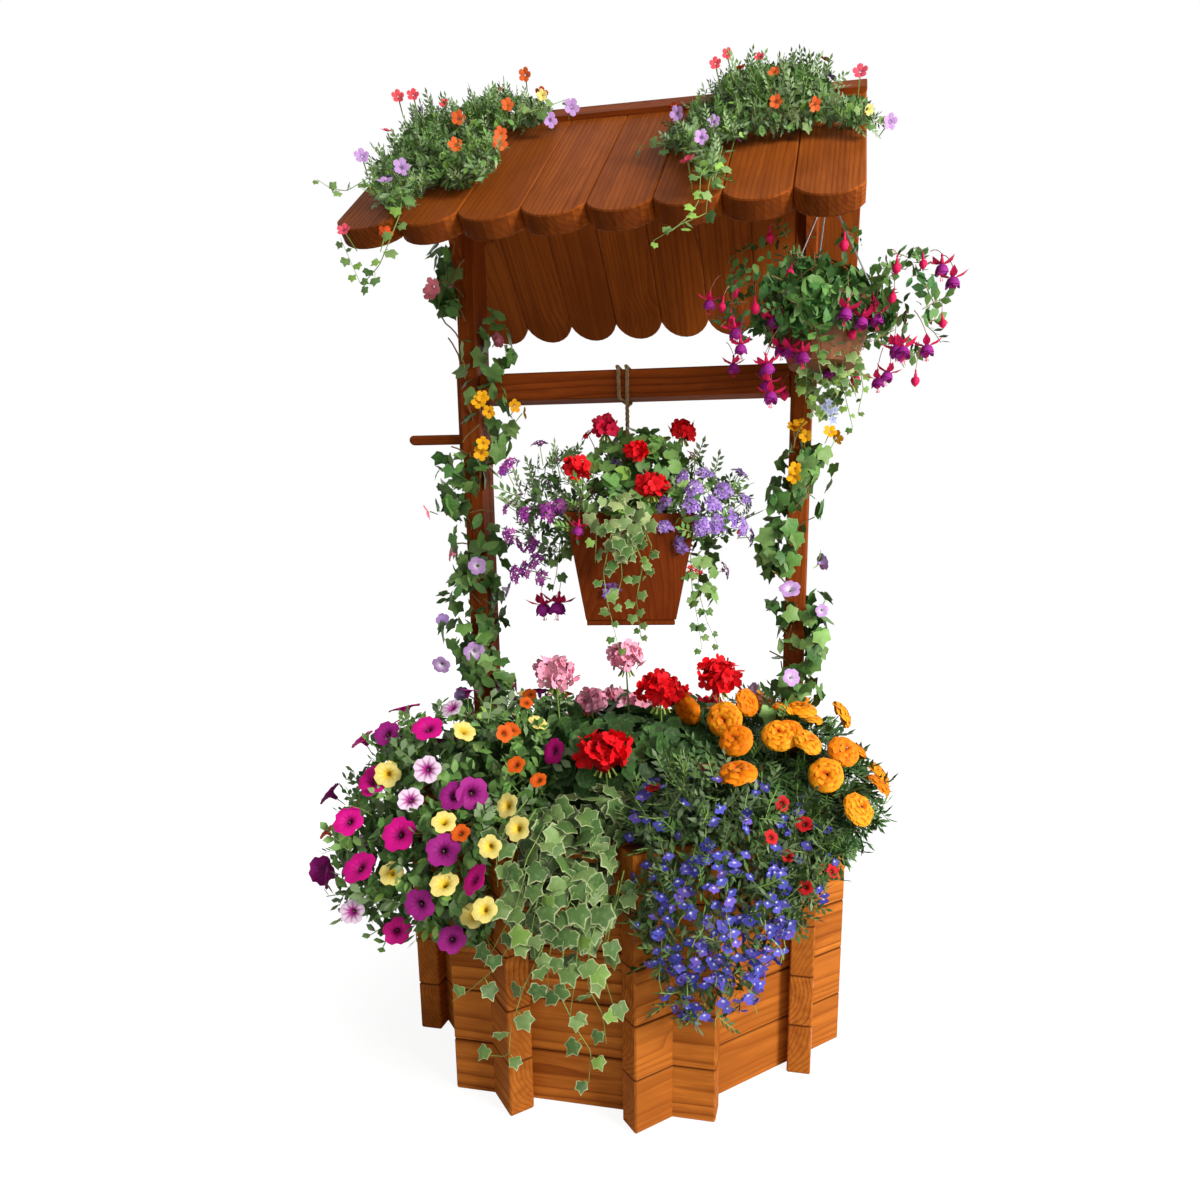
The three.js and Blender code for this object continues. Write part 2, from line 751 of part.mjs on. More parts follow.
// Least gap between turns of a winding, measured between points on its centre line.
function leastGap(points) {
  const dense = [];
  for (let i = 0; i + 1 < points.length; i += 1) {
    for (let j = 0; j < least_gap_samples; j += 1) {
      dense.push(points[i].clone().lerp(points[i + 1], j / least_gap_samples));
    }
  }
  const apart = 2 * (corner_steps + 2) * least_gap_samples;
  let least = Infinity;
  for (let i = 0; i < dense.length; i += 1) {
    for (let j = i + apart; j < dense.length; j += 1) {
      least = Math.min(least, dense[i].distanceTo(dense[j]));
    }
  }
  return least - rope_diameter;
}

const winding_path = windingPoints();
console.log(`rope_winding: least gap to itself ${leastGap(winding_path).toFixed(2)} mm`);
addPiece('rope_winding', tube(winding_path, rope_radius, loop_sides), 'jute', winch);

// The rope's straight stretch, from the beam's front face down to the knot.
const knot_height = pot_rim_height + knot_rise;
const line_top = beam_axis_height - fit_gap;
const line_foot = knot_height + knot_diameter / 2 + fit_gap;
const rope_line = new THREE.CylinderGeometry(rope_radius, rope_radius, line_top - line_foot, cord_sides);
rope_line.rotateX(Math.PI / 2).translate(rope_offset, rope_y, (line_top + line_foot) / 2);
addPiece('rope_line', rope_line, 'jute');

// The pot hangs under the rope, turned a little about it.
const pot = new THREE.Group();
pot.position.set(rope_offset, rope_y, pot_foot_height);
pot.rotation.z = THREE.MathUtils.degToRad(pot_turn);
well.add(pot);

const lean = Math.atan2((pot_rim_width - pot_foot_width) / 2, pot_height);
const board_foot = pot_base_thickness + fit_gap;

// Half-width of the pot's outside at a height above its foot.
function potHalf(height) {
  const share = height / pot_height;
  return (pot_foot_width + (pot_rim_width - pot_foot_width) * share) / 2;
}

// Square block that tapers as the pot does, grown or shrunk by an offset.
function potBlock(foot, top, offset) {
  const foot_radius = Math.SQRT2 * (potHalf(foot) + offset);
  const top_radius = Math.SQRT2 * (potHalf(top) + offset);
  const block = new THREE.CylinderGeometry(top_radius, foot_radius, top - foot, 4);
  return block.rotateX(Math.PI / 2).rotateZ(Math.PI / 4).translate(0, 0, (foot + top) / 2);
}

// Slab along the pot's leaning front face, between two depths into it.
function potSlab(from, to) {
  const slab = new THREE.BoxGeometry(2 * pot_rim_width, to - from, 2 * pot_height);
  slab.translate(0, (from + to) / 2, 0).rotateX(lean);
  return solid(slab.translate(0, -potHalf(pot_height / 2), pot_height / 2));
}

const pot_outside = solid(potBlock(board_foot, pot_height, 0));
const pot_front = pot_outside.intersect(potSlab(-overrun, pot_board));
const pot_between = [-90, 90].reduce(
  (shape, turn) => shape.subtract(potSlab(-overrun, pot_board + fit_gap).rotate([0, 0, turn])),
  pot_front,
);
[['front', 0, pot_front], ['back', 2, pot_front], ['left', 3, pot_between], ['right', 1, pot_between]]
  .forEach(([word, quarters, shape]) => {
    const mesh = addPiece(`pot_side_${word}`, geometryOf(shape), 'pot_wood', pot);
    mesh.rotation.z = (quarters * Math.PI) / 2;
  });
const base_outline = easedSection(pot_foot_width, pot_foot_width, pot_base_ease);
addPiece('pot_base', easedExtrusion(base_outline, pot_base_thickness, pot_base_ease), 'pot_wood', pot);

// Places of the bail in the pot's frame: the knot, and a foot on each corner of the rim.
const knot_place = [0, 0, pot_height + knot_rise];
const bail_foot_radius = bail_foot_diameter / 2;
const bail_reach = pot_rim_width / 2 - pot_board / 2 - bail_foot_radius / 2;
const bail_feet = [[1, 1], [-1, 1], [-1, -1], [1, -1]].map(([x, y]) => [
  x * bail_reach, y * bail_reach, pot_height + fit_gap + bail_foot_radius,
]);

// The bail: a leg from the knot down to each foot, grown by a clearance.
function bail(growth) {
  return union([
    blob(knot_place, Array(3).fill(knot_diameter / 2 + growth)),
    ...bail_feet.map((foot) => rodBetween(knot_place, foot, bail_diameter / 2 + growth)),
    ...bail_feet.map((foot) => footBall(foot, bail_foot_radius + growth)),
  ]);
}

addPiece('rope_bail', geometryOf(bail(0)), 'jute', pot);

// The basket hangs from a screw eye in the roof, on a hook like an S and a hanger of wires.
const eye_top = underside(hook_y) - shank_length;
const eye_centre = eye_top - eye_radius;
const hook_top = eye_centre - eye_radius + link_rise;
const hook_middle = hook_top - 2 * hook_radius;
const ring_top = hook_middle - 2 * hook_radius + link_rise;
const ring_centre = ring_top - eye_radius;
const ring_foot = ring_centre - eye_radius;
const basket_rim_height = hook_top - hanger_drop;

// A closed ring of wire in the XZ plane.
function wireRing(centre_height) {
  const ring = new THREE.TorusGeometry(eye_radius, wire_radius, loop_sides, ring_steps);
  return solid(ring.rotateX(Math.PI / 2).translate(hook_x, hook_y, centre_height));
}

// Block of the roof's front slope down to a depth under its top face, grown by a clearance.
function roofSlab(clearance, depth) {
  const reach = roof_run + clearance;
  const thickness = depth + 2 * clearance;
  const slab = new THREE.BoxGeometry(2 * (roof_half + clearance), reach, thickness);
  slab.translate(0, -reach / 2, clearance - thickness / 2);
  return slab.rotateX(pitch).translate(0, 0, ridge_height);
}

const shank_foot = [hook_x, hook_y, eye_top];
const shank_head = [hook_x, hook_y, eye_top + shank_length + roof_board_thickness / 2];
const shank = rodBetween(shank_foot, shank_head, wire_radius)
  .subtract(solid(roofSlab(fit_gap, roof_board_thickness)));
addPiece('roof_eye', geometryOf(wireRing(eye_centre).add(mainBody(shank))), 'steel');

// Points of the S-hook, in the YZ plane: over the eye's wire, and back under the hanger's ring.
function hookPoints() {
  const points = [];
  const sweep = (5 * Math.PI) / 3;
  for (let step = 0; step <= ring_steps; step += 1) {
    const angle = -Math.PI / 2 + sweep * (1 - step / ring_steps);
    const y = hook_y + hook_radius * Math.cos(angle);
    points.push(new THREE.Vector3(hook_x, y, hook_middle + hook_radius + hook_radius * Math.sin(angle)));
  }
  for (let step = 1; step <= ring_steps; step += 1) {
    const angle = Math.PI / 2 + (sweep * step) / ring_steps;
    const y = hook_y + hook_radius * Math.cos(angle);
    points.push(new THREE.Vector3(hook_x, y, hook_middle - hook_radius + hook_radius * Math.sin(angle)));
  }
  return points;
}

addPiece('basket_hook', tube(hookPoints(), wire_radius, loop_sides), 'steel');

// Places of the hanger: the top of its wires, and their feet on the basket's rim.
const hanger_foot_radius = hanger_foot_diameter / 2;
const hanger_top = [hook_x, hook_y, ring_foot];
const hanger_feet = Array.from({ length: hanger_wires }, (_, wire) => {
  const reach = basket_rim_radius - basket_wall / 2;
  const angle = THREE.MathUtils.degToRad(hanger_wire_turn) + (2 * Math.PI * wire) / hanger_wires;
  return [
    hook_x + reach * Math.sin(angle),
    hook_y - reach * Math.cos(angle),
    basket_rim_height + fit_gap + hanger_foot_radius,
  ];
});

// The hanger's wires and feet, grown by a clearance.
function hangerWires(growth) {
  return union([
    ...hanger_feet.map((foot) => rodBetween(hanger_top, foot, wire_radius + growth)),
    ...hanger_feet.map((foot) => footBall(foot, hanger_foot_radius + growth)),
  ]);
}

addPiece('basket_hanger', geometryOf(wireRing(ring_centre).add(hangerWires(0))), 'steel');

// A round block about the basket's middle, between two heights over the basket's foot.
function basketBlock(foot_radius, top_radius, foot, top) {
  const block = new THREE.CylinderGeometry(top_radius, foot_radius, top - foot, basket_sides);
  block.rotateX(Math.PI / 2).translate(hook_x, hook_y, 0);
  return solid(block.translate(0, 0, basket_rim_height - basket_height + (foot + top) / 2));
}

const basket_shoulder = basket_rim_radius - basket_wall;
const basket_throat = basket_shoulder - basket_wall;
const basket_lip_foot = basket_height - basket_lip_height;

// The basket's pot: a turned cup with a lip.
function basketPot() {
  const outline = [
    [0, 0], [basket_foot_radius, 0], [basket_shoulder, basket_lip_foot],
    [basket_rim_radius, basket_lip_foot], [basket_rim_radius, basket_height],
    [basket_throat, basket_height], [basket_foot_radius - basket_wall, basket_wall],
    [0, basket_wall],
  ];
  const points = outline.map(([radius, height]) => new THREE.Vector2(radius, height));
  const cup = geometryOf(solid(new THREE.LatheGeometry(points, basket_sides)));
  cup.rotateX(Math.PI / 2);
  return cup.translate(hook_x, hook_y, basket_rim_height - basket_height);
}

addPiece('basket_pot', basketPot(), 'brown_plastic');

// Masses of leaves and flowers. Each is the union of its swellings, cut back from what it grows
// over. A mass can be grown by a spacing, to cut its neighbour.
function mass(rows, place, growth = 0) {
  return union(rows.map((row) => {
    const [centre, radii, lean] = place(row);
    return blob(centre, radii.map((radius) => radius + growth), lean);
  }));
}

// Place of a row in the crib.
function inCrib([x, y, z, across, forward, up]) {
  return [
    [x * crib_apothem, y * crib_apothem, z * wall_height],
    [across * crib_apothem, forward * crib_apothem, up * wall_height],
  ];
}

// Place of a row on a post.
function onPost(side) {
  const climb = gable_foot - wall_height;
  return ([x, y, z, across, forward, up]) => [
    [side * post_x + x * post_depth, y * post_depth, wall_height + z * climb],
    [across * post_depth, forward * post_depth, up * climb],
  ];
}

// Solid that stands for the crib's walls and filling when plants are cut back from it.
const crib_envelope = wall_names.reduce(
  (shape, name, index) => shape.add(
    wallSlab(index * side_turn, -overrun, wall_height + plant_gap, plant_gap)),
  solid(octagon(crib_inner, -overrun, filling_top + plant_gap)),
);
const post_envelope = [-1, 1]
  .map((side) => postBox(side, 0, post_top + plant_gap, plant_gap))
  .reduce((sum, shape) => sum.add(shape));
const crank_radius = Math.hypot(arm_width / 2, crank_throw + arm_end) + sweep_clearance;
const crank_sweep = solid(rodX(crank_radius, -overrun - handle_length - arm_outer, -post_outer)
  .translate(0, 0, beam_axis_height));
const gable_envelope = box(
  [-post_outer - plant_gap, -gable_reach - plant_gap, gable_foot - plant_gap],
  [post_outer + plant_gap, gable_reach + plant_gap, ridge_height],
);
const standing = crib_envelope.add(post_envelope);

// The crib's masses in the order in which each gives way to those before it.
const crib_masses = [
  ['base_geraniums', geranium_shares, 'geranium'],
  ['base_lobelia', lobelia_shares, 'lobelia'],
  ['base_ivy', ivy_shares, 'variegated_ivy'],
  ['base_marigolds', marigold_shares, 'marigold'],
  ['base_petunias', petunia_shares, 'petunia'],
];
let planted = standing;
for (const [name, rows, finish] of crib_masses) {
  const shape = mass(rows, inCrib).subtract(planted);
  addPiece(name, geometryOf(mainBody(shape)), finish);
  planted = planted.add(mass(rows, inCrib, plant_spacing));
}

const beam_sweep = solid(rodX(beam_half * Math.SQRT2 + sweep_clearance, -post_inner, post_inner)
  .translate(0, 0, beam_axis_height));
[[-1, 'left', left_ivy_shares], [1, 'right', right_ivy_shares]].forEach(([side, word, rows]) => {
  const shape = mass(rows, onPost(side)).subtract(planted).subtract(crank_sweep)
    .subtract(gable_envelope).subtract(beam_sweep);
  addPiece(`post_ivy_${word}`, geometryOf(mainBody(shape)), 'leaf');
});

// Place of a row on the front slope of the roof.
function onRoof([x, down, out, across, along, thick]) {
  const run = down * notch_run;
  const lift = out * notch_run;
  const y = -run * pitch_cos - lift * pitch_sin;
  const z = ridge_height - run * pitch_sin + lift * pitch_cos;
  const radii = [across, along, thick].map((share) => share * notch_run);
  return [[x * roof_half, y, z], radii, pitch];
}

const cap_envelope = solid(alongX(plainExtrusion(capOutline(plant_gap), 2 * (roof_half + overrun)))
  .translate(-roof_half - overrun, 0, 0));
const front_slab = solid(roofSlab(plant_gap, notch_run));
const roof_envelope = front_slab.add(front_slab.rotate([0, 0, 180])).add(cap_envelope);
[['left', left_roof_shares], ['right', right_roof_shares]].forEach(([word, rows]) => {
  const shape = mass(rows, onRoof).subtract(roof_envelope);
  addPiece(`roof_plants_${word}`, geometryOf(mainBody(shape)), 'leaf');
});

// The pot's plants: leaves over the rim, and the root ball inside the boards.
const pot_turned = [0, 0, pot_turn];
const pot_place = [rope_offset, rope_y, pot_foot_height];
const ball_inset = -pot_board / Math.cos(lean) - fit_gap;
const pot_ball = solid(potBlock(board_foot, pot_height + root_rise, ball_inset));
const pot_keep_out = solid(potBlock(-plant_gap, pot_height + plant_gap, plant_gap));
const pot_leaves = mass(pot_plant_shares, ([x, y, z, ...radii]) => [
  [x * pot_rim_width, y * pot_rim_width, pot_height + z * pot_rim_width],
  radii.map((share) => share * pot_rim_width),
]);
const line_keep_out = rodBetween(
  knot_place, [0, 0, 2 * pot_height + knot_rise], rope_diameter / 2 + plant_spacing);
const pot_plants = mainBody(pot_leaves
  .subtract(pot_keep_out.rotate(pot_turned))
  .add(pot_ball.rotate(pot_turned))
  .subtract(bail(plant_spacing).rotate(pot_turned))
  .subtract(line_keep_out));
addPiece('pot_plants', geometryOf(pot_plants.translate(pot_place)), 'geranium');

// The basket's plants: leaves all round, and the root ball inside the cup.
const basket_ball = basketBlock(
  basket_foot_radius - basket_wall - fit_gap,
  basket_throat - fit_gap,
  basket_wall + fit_gap,
  basket_height + root_rise,
);
const basket_lip_radius = basket_rim_radius + plant_gap;
const basket_keep_out = basketBlock(
  basket_foot_radius + plant_gap, basket_shoulder + plant_gap, -plant_gap, basket_lip_foot,
).add(basketBlock(
  basket_lip_radius, basket_lip_radius, basket_lip_foot - plant_gap, basket_height + plant_gap,
));
const basket_leaves = mass(basket_plant_shares, ([x, y, z, ...radii]) => [
  [
    hook_x + x * basket_rim_radius,
    hook_y + y * basket_rim_radius,
    basket_rim_height + z * basket_rim_radius,
  ],
  radii.map((share) => share * basket_rim_radius),
]);
const basket_plants = mainBody(basket_leaves
  .subtract(basket_keep_out)
  .add(basket_ball)
  .subtract(hangerWires(plant_spacing)));
addPiece('basket_plants', geometryOf(basket_plants), 'fuchsia');

export default well;
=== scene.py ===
# %% Load the packed model
import math

import bpy
import numpy as np
from mathutils import Matrix, Vector
from mathutils.bvhtree import BVHTree


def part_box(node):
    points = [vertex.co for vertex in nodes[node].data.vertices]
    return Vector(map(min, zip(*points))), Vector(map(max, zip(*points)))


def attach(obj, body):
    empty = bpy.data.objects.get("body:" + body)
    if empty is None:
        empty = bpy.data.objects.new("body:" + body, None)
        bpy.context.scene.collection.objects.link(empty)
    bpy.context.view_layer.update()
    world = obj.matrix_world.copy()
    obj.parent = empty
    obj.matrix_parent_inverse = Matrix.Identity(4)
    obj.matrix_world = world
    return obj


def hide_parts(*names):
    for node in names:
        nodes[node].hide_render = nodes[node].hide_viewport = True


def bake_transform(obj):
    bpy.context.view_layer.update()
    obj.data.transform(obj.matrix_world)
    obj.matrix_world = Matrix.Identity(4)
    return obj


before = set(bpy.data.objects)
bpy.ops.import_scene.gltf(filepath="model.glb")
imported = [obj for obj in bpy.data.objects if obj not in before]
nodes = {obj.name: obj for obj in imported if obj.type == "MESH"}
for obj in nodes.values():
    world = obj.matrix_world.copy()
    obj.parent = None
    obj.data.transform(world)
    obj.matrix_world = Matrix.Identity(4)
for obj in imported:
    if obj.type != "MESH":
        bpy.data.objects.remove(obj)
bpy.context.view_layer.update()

# %% [markdown]
# ## The camera
# The photograph looks a little down on the well from its front right. A wide lens close to a tall
# thing makes its uprights lean, so the camera's place, turn and lens were found from the corners
# of the crib, the posts and the roof. The lens is shifted because the picture was cropped.

# %% Where the camera stands and looks
photo_pixels = 1200
camera_place = Vector((0.37813, -1.48588, 0.91681))
camera_azimuth, camera_pitch, camera_roll = (math.radians(a) for a in (10.298, 10.327, 0.3626))
focal_share = 771.42 / photo_pixels
principal_x, principal_y = 687.35 / photo_pixels, 695.17 / photo_pixels
sensor = 36
nearest_seen, farthest_seen = 0.05, 50

ahead = Vector((-math.sin(camera_azimuth) * math.cos(camera_pitch),
                math.cos(camera_azimuth) * math.cos(camera_pitch), -math.sin(camera_pitch)))
level = Vector((math.cos(camera_azimuth), math.sin(camera_azimuth), 0))
upright = level.cross(ahead)
rightward = level * math.cos(camera_roll) + upright * math.sin(camera_roll)
upward = upright * math.cos(camera_roll) - level * math.sin(camera_roll)
print("the camera stands at", camera_place[:])

# %% Camera
def choose_none():
    """Deselects every object, before an operator that works on what is selected."""
    bpy.ops.object.select_all(action="DESELECT")


choose_none()
bpy.ops.object.camera_add()
camera = bpy.context.object
camera.matrix_world = Matrix((
    (rightward.x, upward.x, -ahead.x, camera_place.x),
    (rightward.y, upward.y, -ahead.y, camera_place.y),
    (rightward.z, upward.z, -ahead.z, camera_place.z),
    (0, 0, 0, 1)))
camera.data.sensor_width = sensor
camera.data.lens = sensor * focal_share
camera.data.shift_x = 0.5 - principal_x
camera.data.shift_y = principal_y - 0.5
camera.data.clip_start, camera.data.clip_end = nearest_seen, farthest_seen
bpy.context.scene.camera = camera
print("camera: lens", round(camera.data.lens, 2), "mm")


def sight(across, down):
    """Direction from the camera through a place in the photograph, in its pixels."""
    x = (across / photo_pixels - principal_x) / focal_share
    y = (down / photo_pixels - principal_y) / focal_share
    return (ahead + rightward * x - upward * y).normalized()


print("the way through the middle:", sight(photo_pixels / 2, photo_pixels / 2)[:])

# %% [markdown]
# ## Finishes from expressions
# A finish is a network of small nodes. Here a `Wire` stands for one output, so that arithmetic on
# wires reads like arithmetic and each sign adds its Math node.

# %% Wires
class Wire:
    """An output socket. Arithmetic on it adds Math nodes."""

    def __init__(self, finish, socket):
        self.finish, self.socket = finish, socket

    def maths(self, operation, first, second=0.0):
        return self.finish.node("ShaderNodeMath", {"operation": operation}, [first, second])

    def between(self, low, high):
        """0 up to low, 1 from high, and a straight ramp between them."""
        return self.finish.node("ShaderNodeMapRange", {"clamp": True},
                                {"Value": self, "From Min": low, "From Max": high})


# Each sign and its swapped form, and each function of one value, is a method with one Math node.
for sign, operation in (("add", "ADD"), ("sub", "SUBTRACT"), ("mul", "MULTIPLY"),
                        ("truediv", "DIVIDE"), ("pow", "POWER")):
    setattr(Wire, f"__{sign}__", lambda a, b, kind=operation: a.maths(kind, a, b))
    setattr(Wire, f"__r{sign}__", lambda a, b, kind=operation: a.maths(kind, b, a))
for sign, operation in (("fraction", "FRACT"), ("floor", "FLOOR"), ("absolute", "ABSOLUTE"),
                        ("root", "SQRT")):
    setattr(Wire, sign, lambda a, kind=operation: a.maths(kind, a))
print("methods of a wire:", len(vars(Wire)))


# %% Finishes
class Finish:
    """A material's network, with its one shader."""

    def __init__(self, name):
        self.material = bpy.data.materials.new(name)
        self.material.use_nodes = True
        self.tree = self.material.node_tree
        self.shader = self.tree.nodes["Principled BSDF"]

    def node(self, kind, settings=(), inputs=(), output=0):
        """Adds a node, with its settings and its inputs, and gives the wire from one output."""
        made = self.tree.nodes.new(kind)
        for key, value in dict(settings).items():
            setattr(made, key, value)
        pairs = inputs.items() if isinstance(inputs, dict) else enumerate(inputs)
        for key, value in pairs:
            self.feed(made.inputs[key], value)
        return Wire(self, made.outputs[output])

    def feed(self, socket, value):
        if isinstance(value, Wire):
            self.tree.links.new(value.socket, socket)
        elif socket.type == "RGBA":
            socket.default_value = (*value, 1)
        else:
            socket.default_value = value

    def mix(self, share, first, second, blend="MIX"):
        """Colours mixed. A Mix node numbers its colour inputs 6 and 7, and its colour output 2."""
        return self.node("ShaderNodeMix", {"data_type": "RGBA", "blend_type": blend},
                         {0: share, 6: first, 7: second}, 2)

    def place(self):
        return self.node("ShaderNodeTexCoord", output="Object")

    def mapped(self, spot, scale=(1, 1, 1), turn=(0, 0, 0)):
        return self.node("ShaderNodeMapping", {},
                         {"Vector": spot, "Scale": scale, "Rotation": turn})

    def split(self, spot):
        made = self.node("ShaderNodeSeparateXYZ", {}, [spot])
        return [Wire(self, made.socket.node.outputs[i]) for i in range(3)]

    def join(self, x, y, z):
        return self.node("ShaderNodeCombineXYZ", {}, [x, y, z])

    def noise(self, spot, scale, detail=2.0, roughness=0.5):
        return self.node("ShaderNodeTexNoise", {}, {"Vector": spot, "Scale": scale,
                                                    "Detail": detail, "Roughness": roughness})

    def bump(self, height, strength, distance):
        normal = self.node("ShaderNodeBump", {},
                           {"Height": height, "Strength": strength, "Distance": distance})
        self.feed(self.shader.inputs["Normal"], normal)

    def set(self, **values):
        for key, value in values.items():
            self.feed(self.shader.inputs[key.replace("_", " ").title()], value)
        return self.material


def paint(code):
    """Linear colour from a six-figure colour code, by the curve of the sRGB standard."""
    parts = [int(code[i:i + 2], 16) / 255 for i in (0, 2, 4)]
    return tuple(p / 12.92 if p < 0.04045 else ((p + 0.055) / 1.055) ** 2.4 for p in parts)


def paints(codes):
    """Several colours from one line of codes."""
    return [paint(code) for code in codes.split()]


print("middle grey:", round(paint("808080")[0], 3))

# %% [markdown]
# ## Stained pine
# Softwood boards are cut from a trunk, so their grain is a slice through its yearly rings. The
# finish builds the rings in space round a pith line beside each board: long faces then show
# lines and arches, and sawn ends show arcs, without any picture. Knots push the rings aside. Each
# course of the crib takes its own pith and tone, because each is a board of its own.

# %% Pine
ring_width = 0.0075
fibre_scale = 160.0
knot_core_reach, knot_reach, knot_bulge = 0.05, 0.19, 0.03
board_pith_change, ring_sway, fibre_depth = 0.05, 0.075, 0.0007


def pine(name, light, dark, turn, middle, pith, row=0.0, knots=1.0, seed=0.0, figure=0.72, ends=0.3):
    """Pine finish. turn brings the board's length to X, middle is its centre after that turn.

    pith is how far the trunk's middle lies from the board's, across and up. row is the height of
    one course of boards, or 0 for a single board. figure and ends are the strength of the rings on
    long faces and of the darker ends."""
    f = Finish(name)
    along, deep, high = f.split(f.mapped(f.place(), turn=turn))
    facing = f.node("ShaderNodeTexCoord", output="Normal")
    end_grain = f.split(f.mapped(facing, turn=turn))[0].absolute().between(0.45, 0.8)
    if row:
        course = (high / row).floor()
        seam = ((high / row).fraction() - 0.5).absolute()
        board, local = course + seed, high - (course + 0.5) * row
    else:
        board, local = seed + 0.37, high - middle[2]
    chance = f.node("ShaderNodeTexWhiteNoise", {"noise_dimensions": "1D"}, {"W": board})
    moved = along + chance * 7.0 + seed
    spot = f.join(moved, deep, local)
    # Knots are short branches through the board, seen as ovals on its face.
    cell = f.node("ShaderNodeTexVoronoi", {"feature": "F1"},
                  {"Vector": f.join(moved * 0.7, seed + chance * 9.0, local * 1.4),
                   "Scale": 4.2, "Randomness": 1.0})
    knot_near = 1 - cell.between(0.02, knot_reach)
    knot_core = 1 - cell.between(0.022, knot_core_reach)
    knot_ring = 1 - cell.between(knot_core_reach, knot_core_reach * 1.5)
    sway = f.noise(f.mapped(spot, scale=(1.1, 9.0, 9.0)), 1.0, 2.0) - 0.5
    waver = f.noise(f.mapped(spot, scale=(3.0, 26.0, 26.0)), 1.0, 2.0) - 0.5
    across = deep - middle[1] - pith[0] - chance * 0.03
    rise = local - pith[1] - chance * board_pith_change + sway * ring_sway
    bulge = knot_near ** 2.0 * (knot_bulge * knots)
    radius = (across * across + rise * rise).root() + waver * 0.008 + bulge
    spacing = f.noise(f.mapped(spot, scale=(0.4, 14.0, 14.0)), 1.0, 1.0) - 0.5
    ring = (radius / ring_width + spacing * 2.2).fraction()
    late = ring.between(0.25, 0.92) ** 2.2 * (1 - ring.between(0.93, 1.0))
    fibre = f.noise(f.mapped(spot, scale=(0.045, 1.0, 1.0)), fibre_scale * 3, 3.0, 0.6)
    streak = f.noise(f.mapped(spot, scale=(0.03, 1.0, 1.0)), fibre_scale * 0.45, 2.0, 0.55)
    cloud = f.noise(f.mapped(spot, scale=(0.5, 1.0, 1.0)), 9.0, 3.0, 0.6)
    mid = tuple(0.55 * a + 0.45 * b for a, b in zip(light, dark))
    deepest = tuple(0.42 * c for c in dark)
    colour = f.mix(late * figure, light, dark)
    colour = f.mix(streak.between(0.40, 0.74) * 0.55, colour, dark)
    colour = f.mix(fibre.between(0.45, 0.8) * 0.5, colour, dark)
    colour = f.mix(cloud.between(0.46, 0.74) * 0.6, colour, dark)
    colour = f.mix(chance * 0.5, colour, mid)
    if knots:
        colour = f.mix(knot_near ** 3.0 * 0.5, colour, dark)
        colour = f.mix(knot_ring * (0.35 + fibre * 0.3), colour, deepest)
        colour = f.mix(knot_core * 0.75, colour, deepest)
    if row:
        colour = f.mix(seam.between(0.468, 0.495) * 0.9, colour, deepest)
    colour = f.mix(end_grain * ends, colour, deepest)
    f.bump(fibre * 0.5 + streak * 0.35 + late * 0.3, 0.35, fibre_depth)
    f.shader.inputs["Specular IOR Level"].default_value = 0.04
    return f.set(base_color=colour, roughness=fibre * 0.16 + 0.42 + late * 0.08)


print("yearly rings:", ring_width * 1000, "mm apart")

# %% [markdown]
# ## Timber on its nodes
# The timber keeps the shapes of the model, so a board only needs its finish. Each call says which
# way the board's length runs, because grain follows it, and has a seed of its own, so that no two
# boards show the same knots.

# %% The timber's nodes
def dress(name, material):
    """Gives a CAD node its finish."""
    target = nodes[name].data.materials
    target.clear()
    target.append(material)


def turned(centre, turn):
    """A point after the Mapping node's turn."""
    x, y, z = turn
    spin = Matrix.Rotation(z, 3, "Z") @ Matrix.Rotation(y, 3, "Y") @ Matrix.Rotation(x, 3, "X")
    return spin @ centre


def timber(name, light, dark, turn=(0, 0, 0), pith=(0.05, 0.02), **options):
    low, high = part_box(name)
    middle = turned((low + high) / 2, turn)
    dress(name, pine(name + "_pine", light, dark, turn, middle, pith, **options))


crib_light, crib_dark, roof_light, roof_dark = paints("cf7b2e 6f300c a9581d 541f07")
frame_light, frame_dark, pot_light, pot_dark = paints("9c4b19 521e08 7e3810 4c1904")
quarter = math.pi / 2
pot_angle, roof_slope, course_height = math.radians(18), math.radians(43.5), 0.095
pot_grain_turn = tuple((Matrix.Rotation(quarter, 3, "Y")
                        @ Matrix.Rotation(-pot_angle, 3, "Z")).to_euler("XYZ"))

wall_names = ["wall_front", "wall_front_right", "wall_right", "wall_back_right",
              "wall_back", "wall_back_left", "wall_left", "wall_front_left"]
for index, name in enumerate(wall_names):
    timber(name, crib_light, crib_dark, (0, 0, -index * quarter / 2), (0.09, 0.01),
           row=course_height, seed=1.7 * index + 0.3, ends=0.08)
for side, slope in (("front", -roof_slope), ("back", roof_slope)):
    for index in range(1, 9):
        # The board's length first comes level along Y, and then turns to X.
        timber(f"roof_board_{side}_{index}", roof_light, roof_dark, (slope, 0, quarter),
               (0.045, 0.01), seed=2.3 * index + (0.5 if side == "front" else 7.1), knots=0.8,
               figure=0.5, ends=0.6)
for index, name in enumerate(["ridge_cap", "ridge_beam", "batten_front", "batten_back",
                              "winch_beam", "crank_handle"]):
    timber(name, frame_light, frame_dark, seed=3.1 * index + 20)
for index, name in enumerate(["post_left", "post_right", "gable_left", "gable_right", "crank_arm"]):
    timber(name, frame_light, frame_dark, (0, quarter, 0), (0.05, 0.015), seed=2.9 * index + 40)
pot_boards = ["pot_side_front", "pot_side_back", "pot_side_left", "pot_side_right", "pot_base"]
for index, name in enumerate(pot_boards):
    timber(name, pot_light, pot_dark, pot_grain_turn, (0.06, 0.02), seed=1.3 * index + 60,
           knots=0.5)
timber("floor_panel", paint("b48a5a"), paint("8a6338"), seed=80.0)
print("timber finishes:", len(bpy.data.materials))

# %% [markdown]
# ## Compost, wire and the basket
# Compost is nearly black and crumbly. The bright wire has only a little grain, and the basket is
# matt moulded plastic with the fine speckle of its mould.

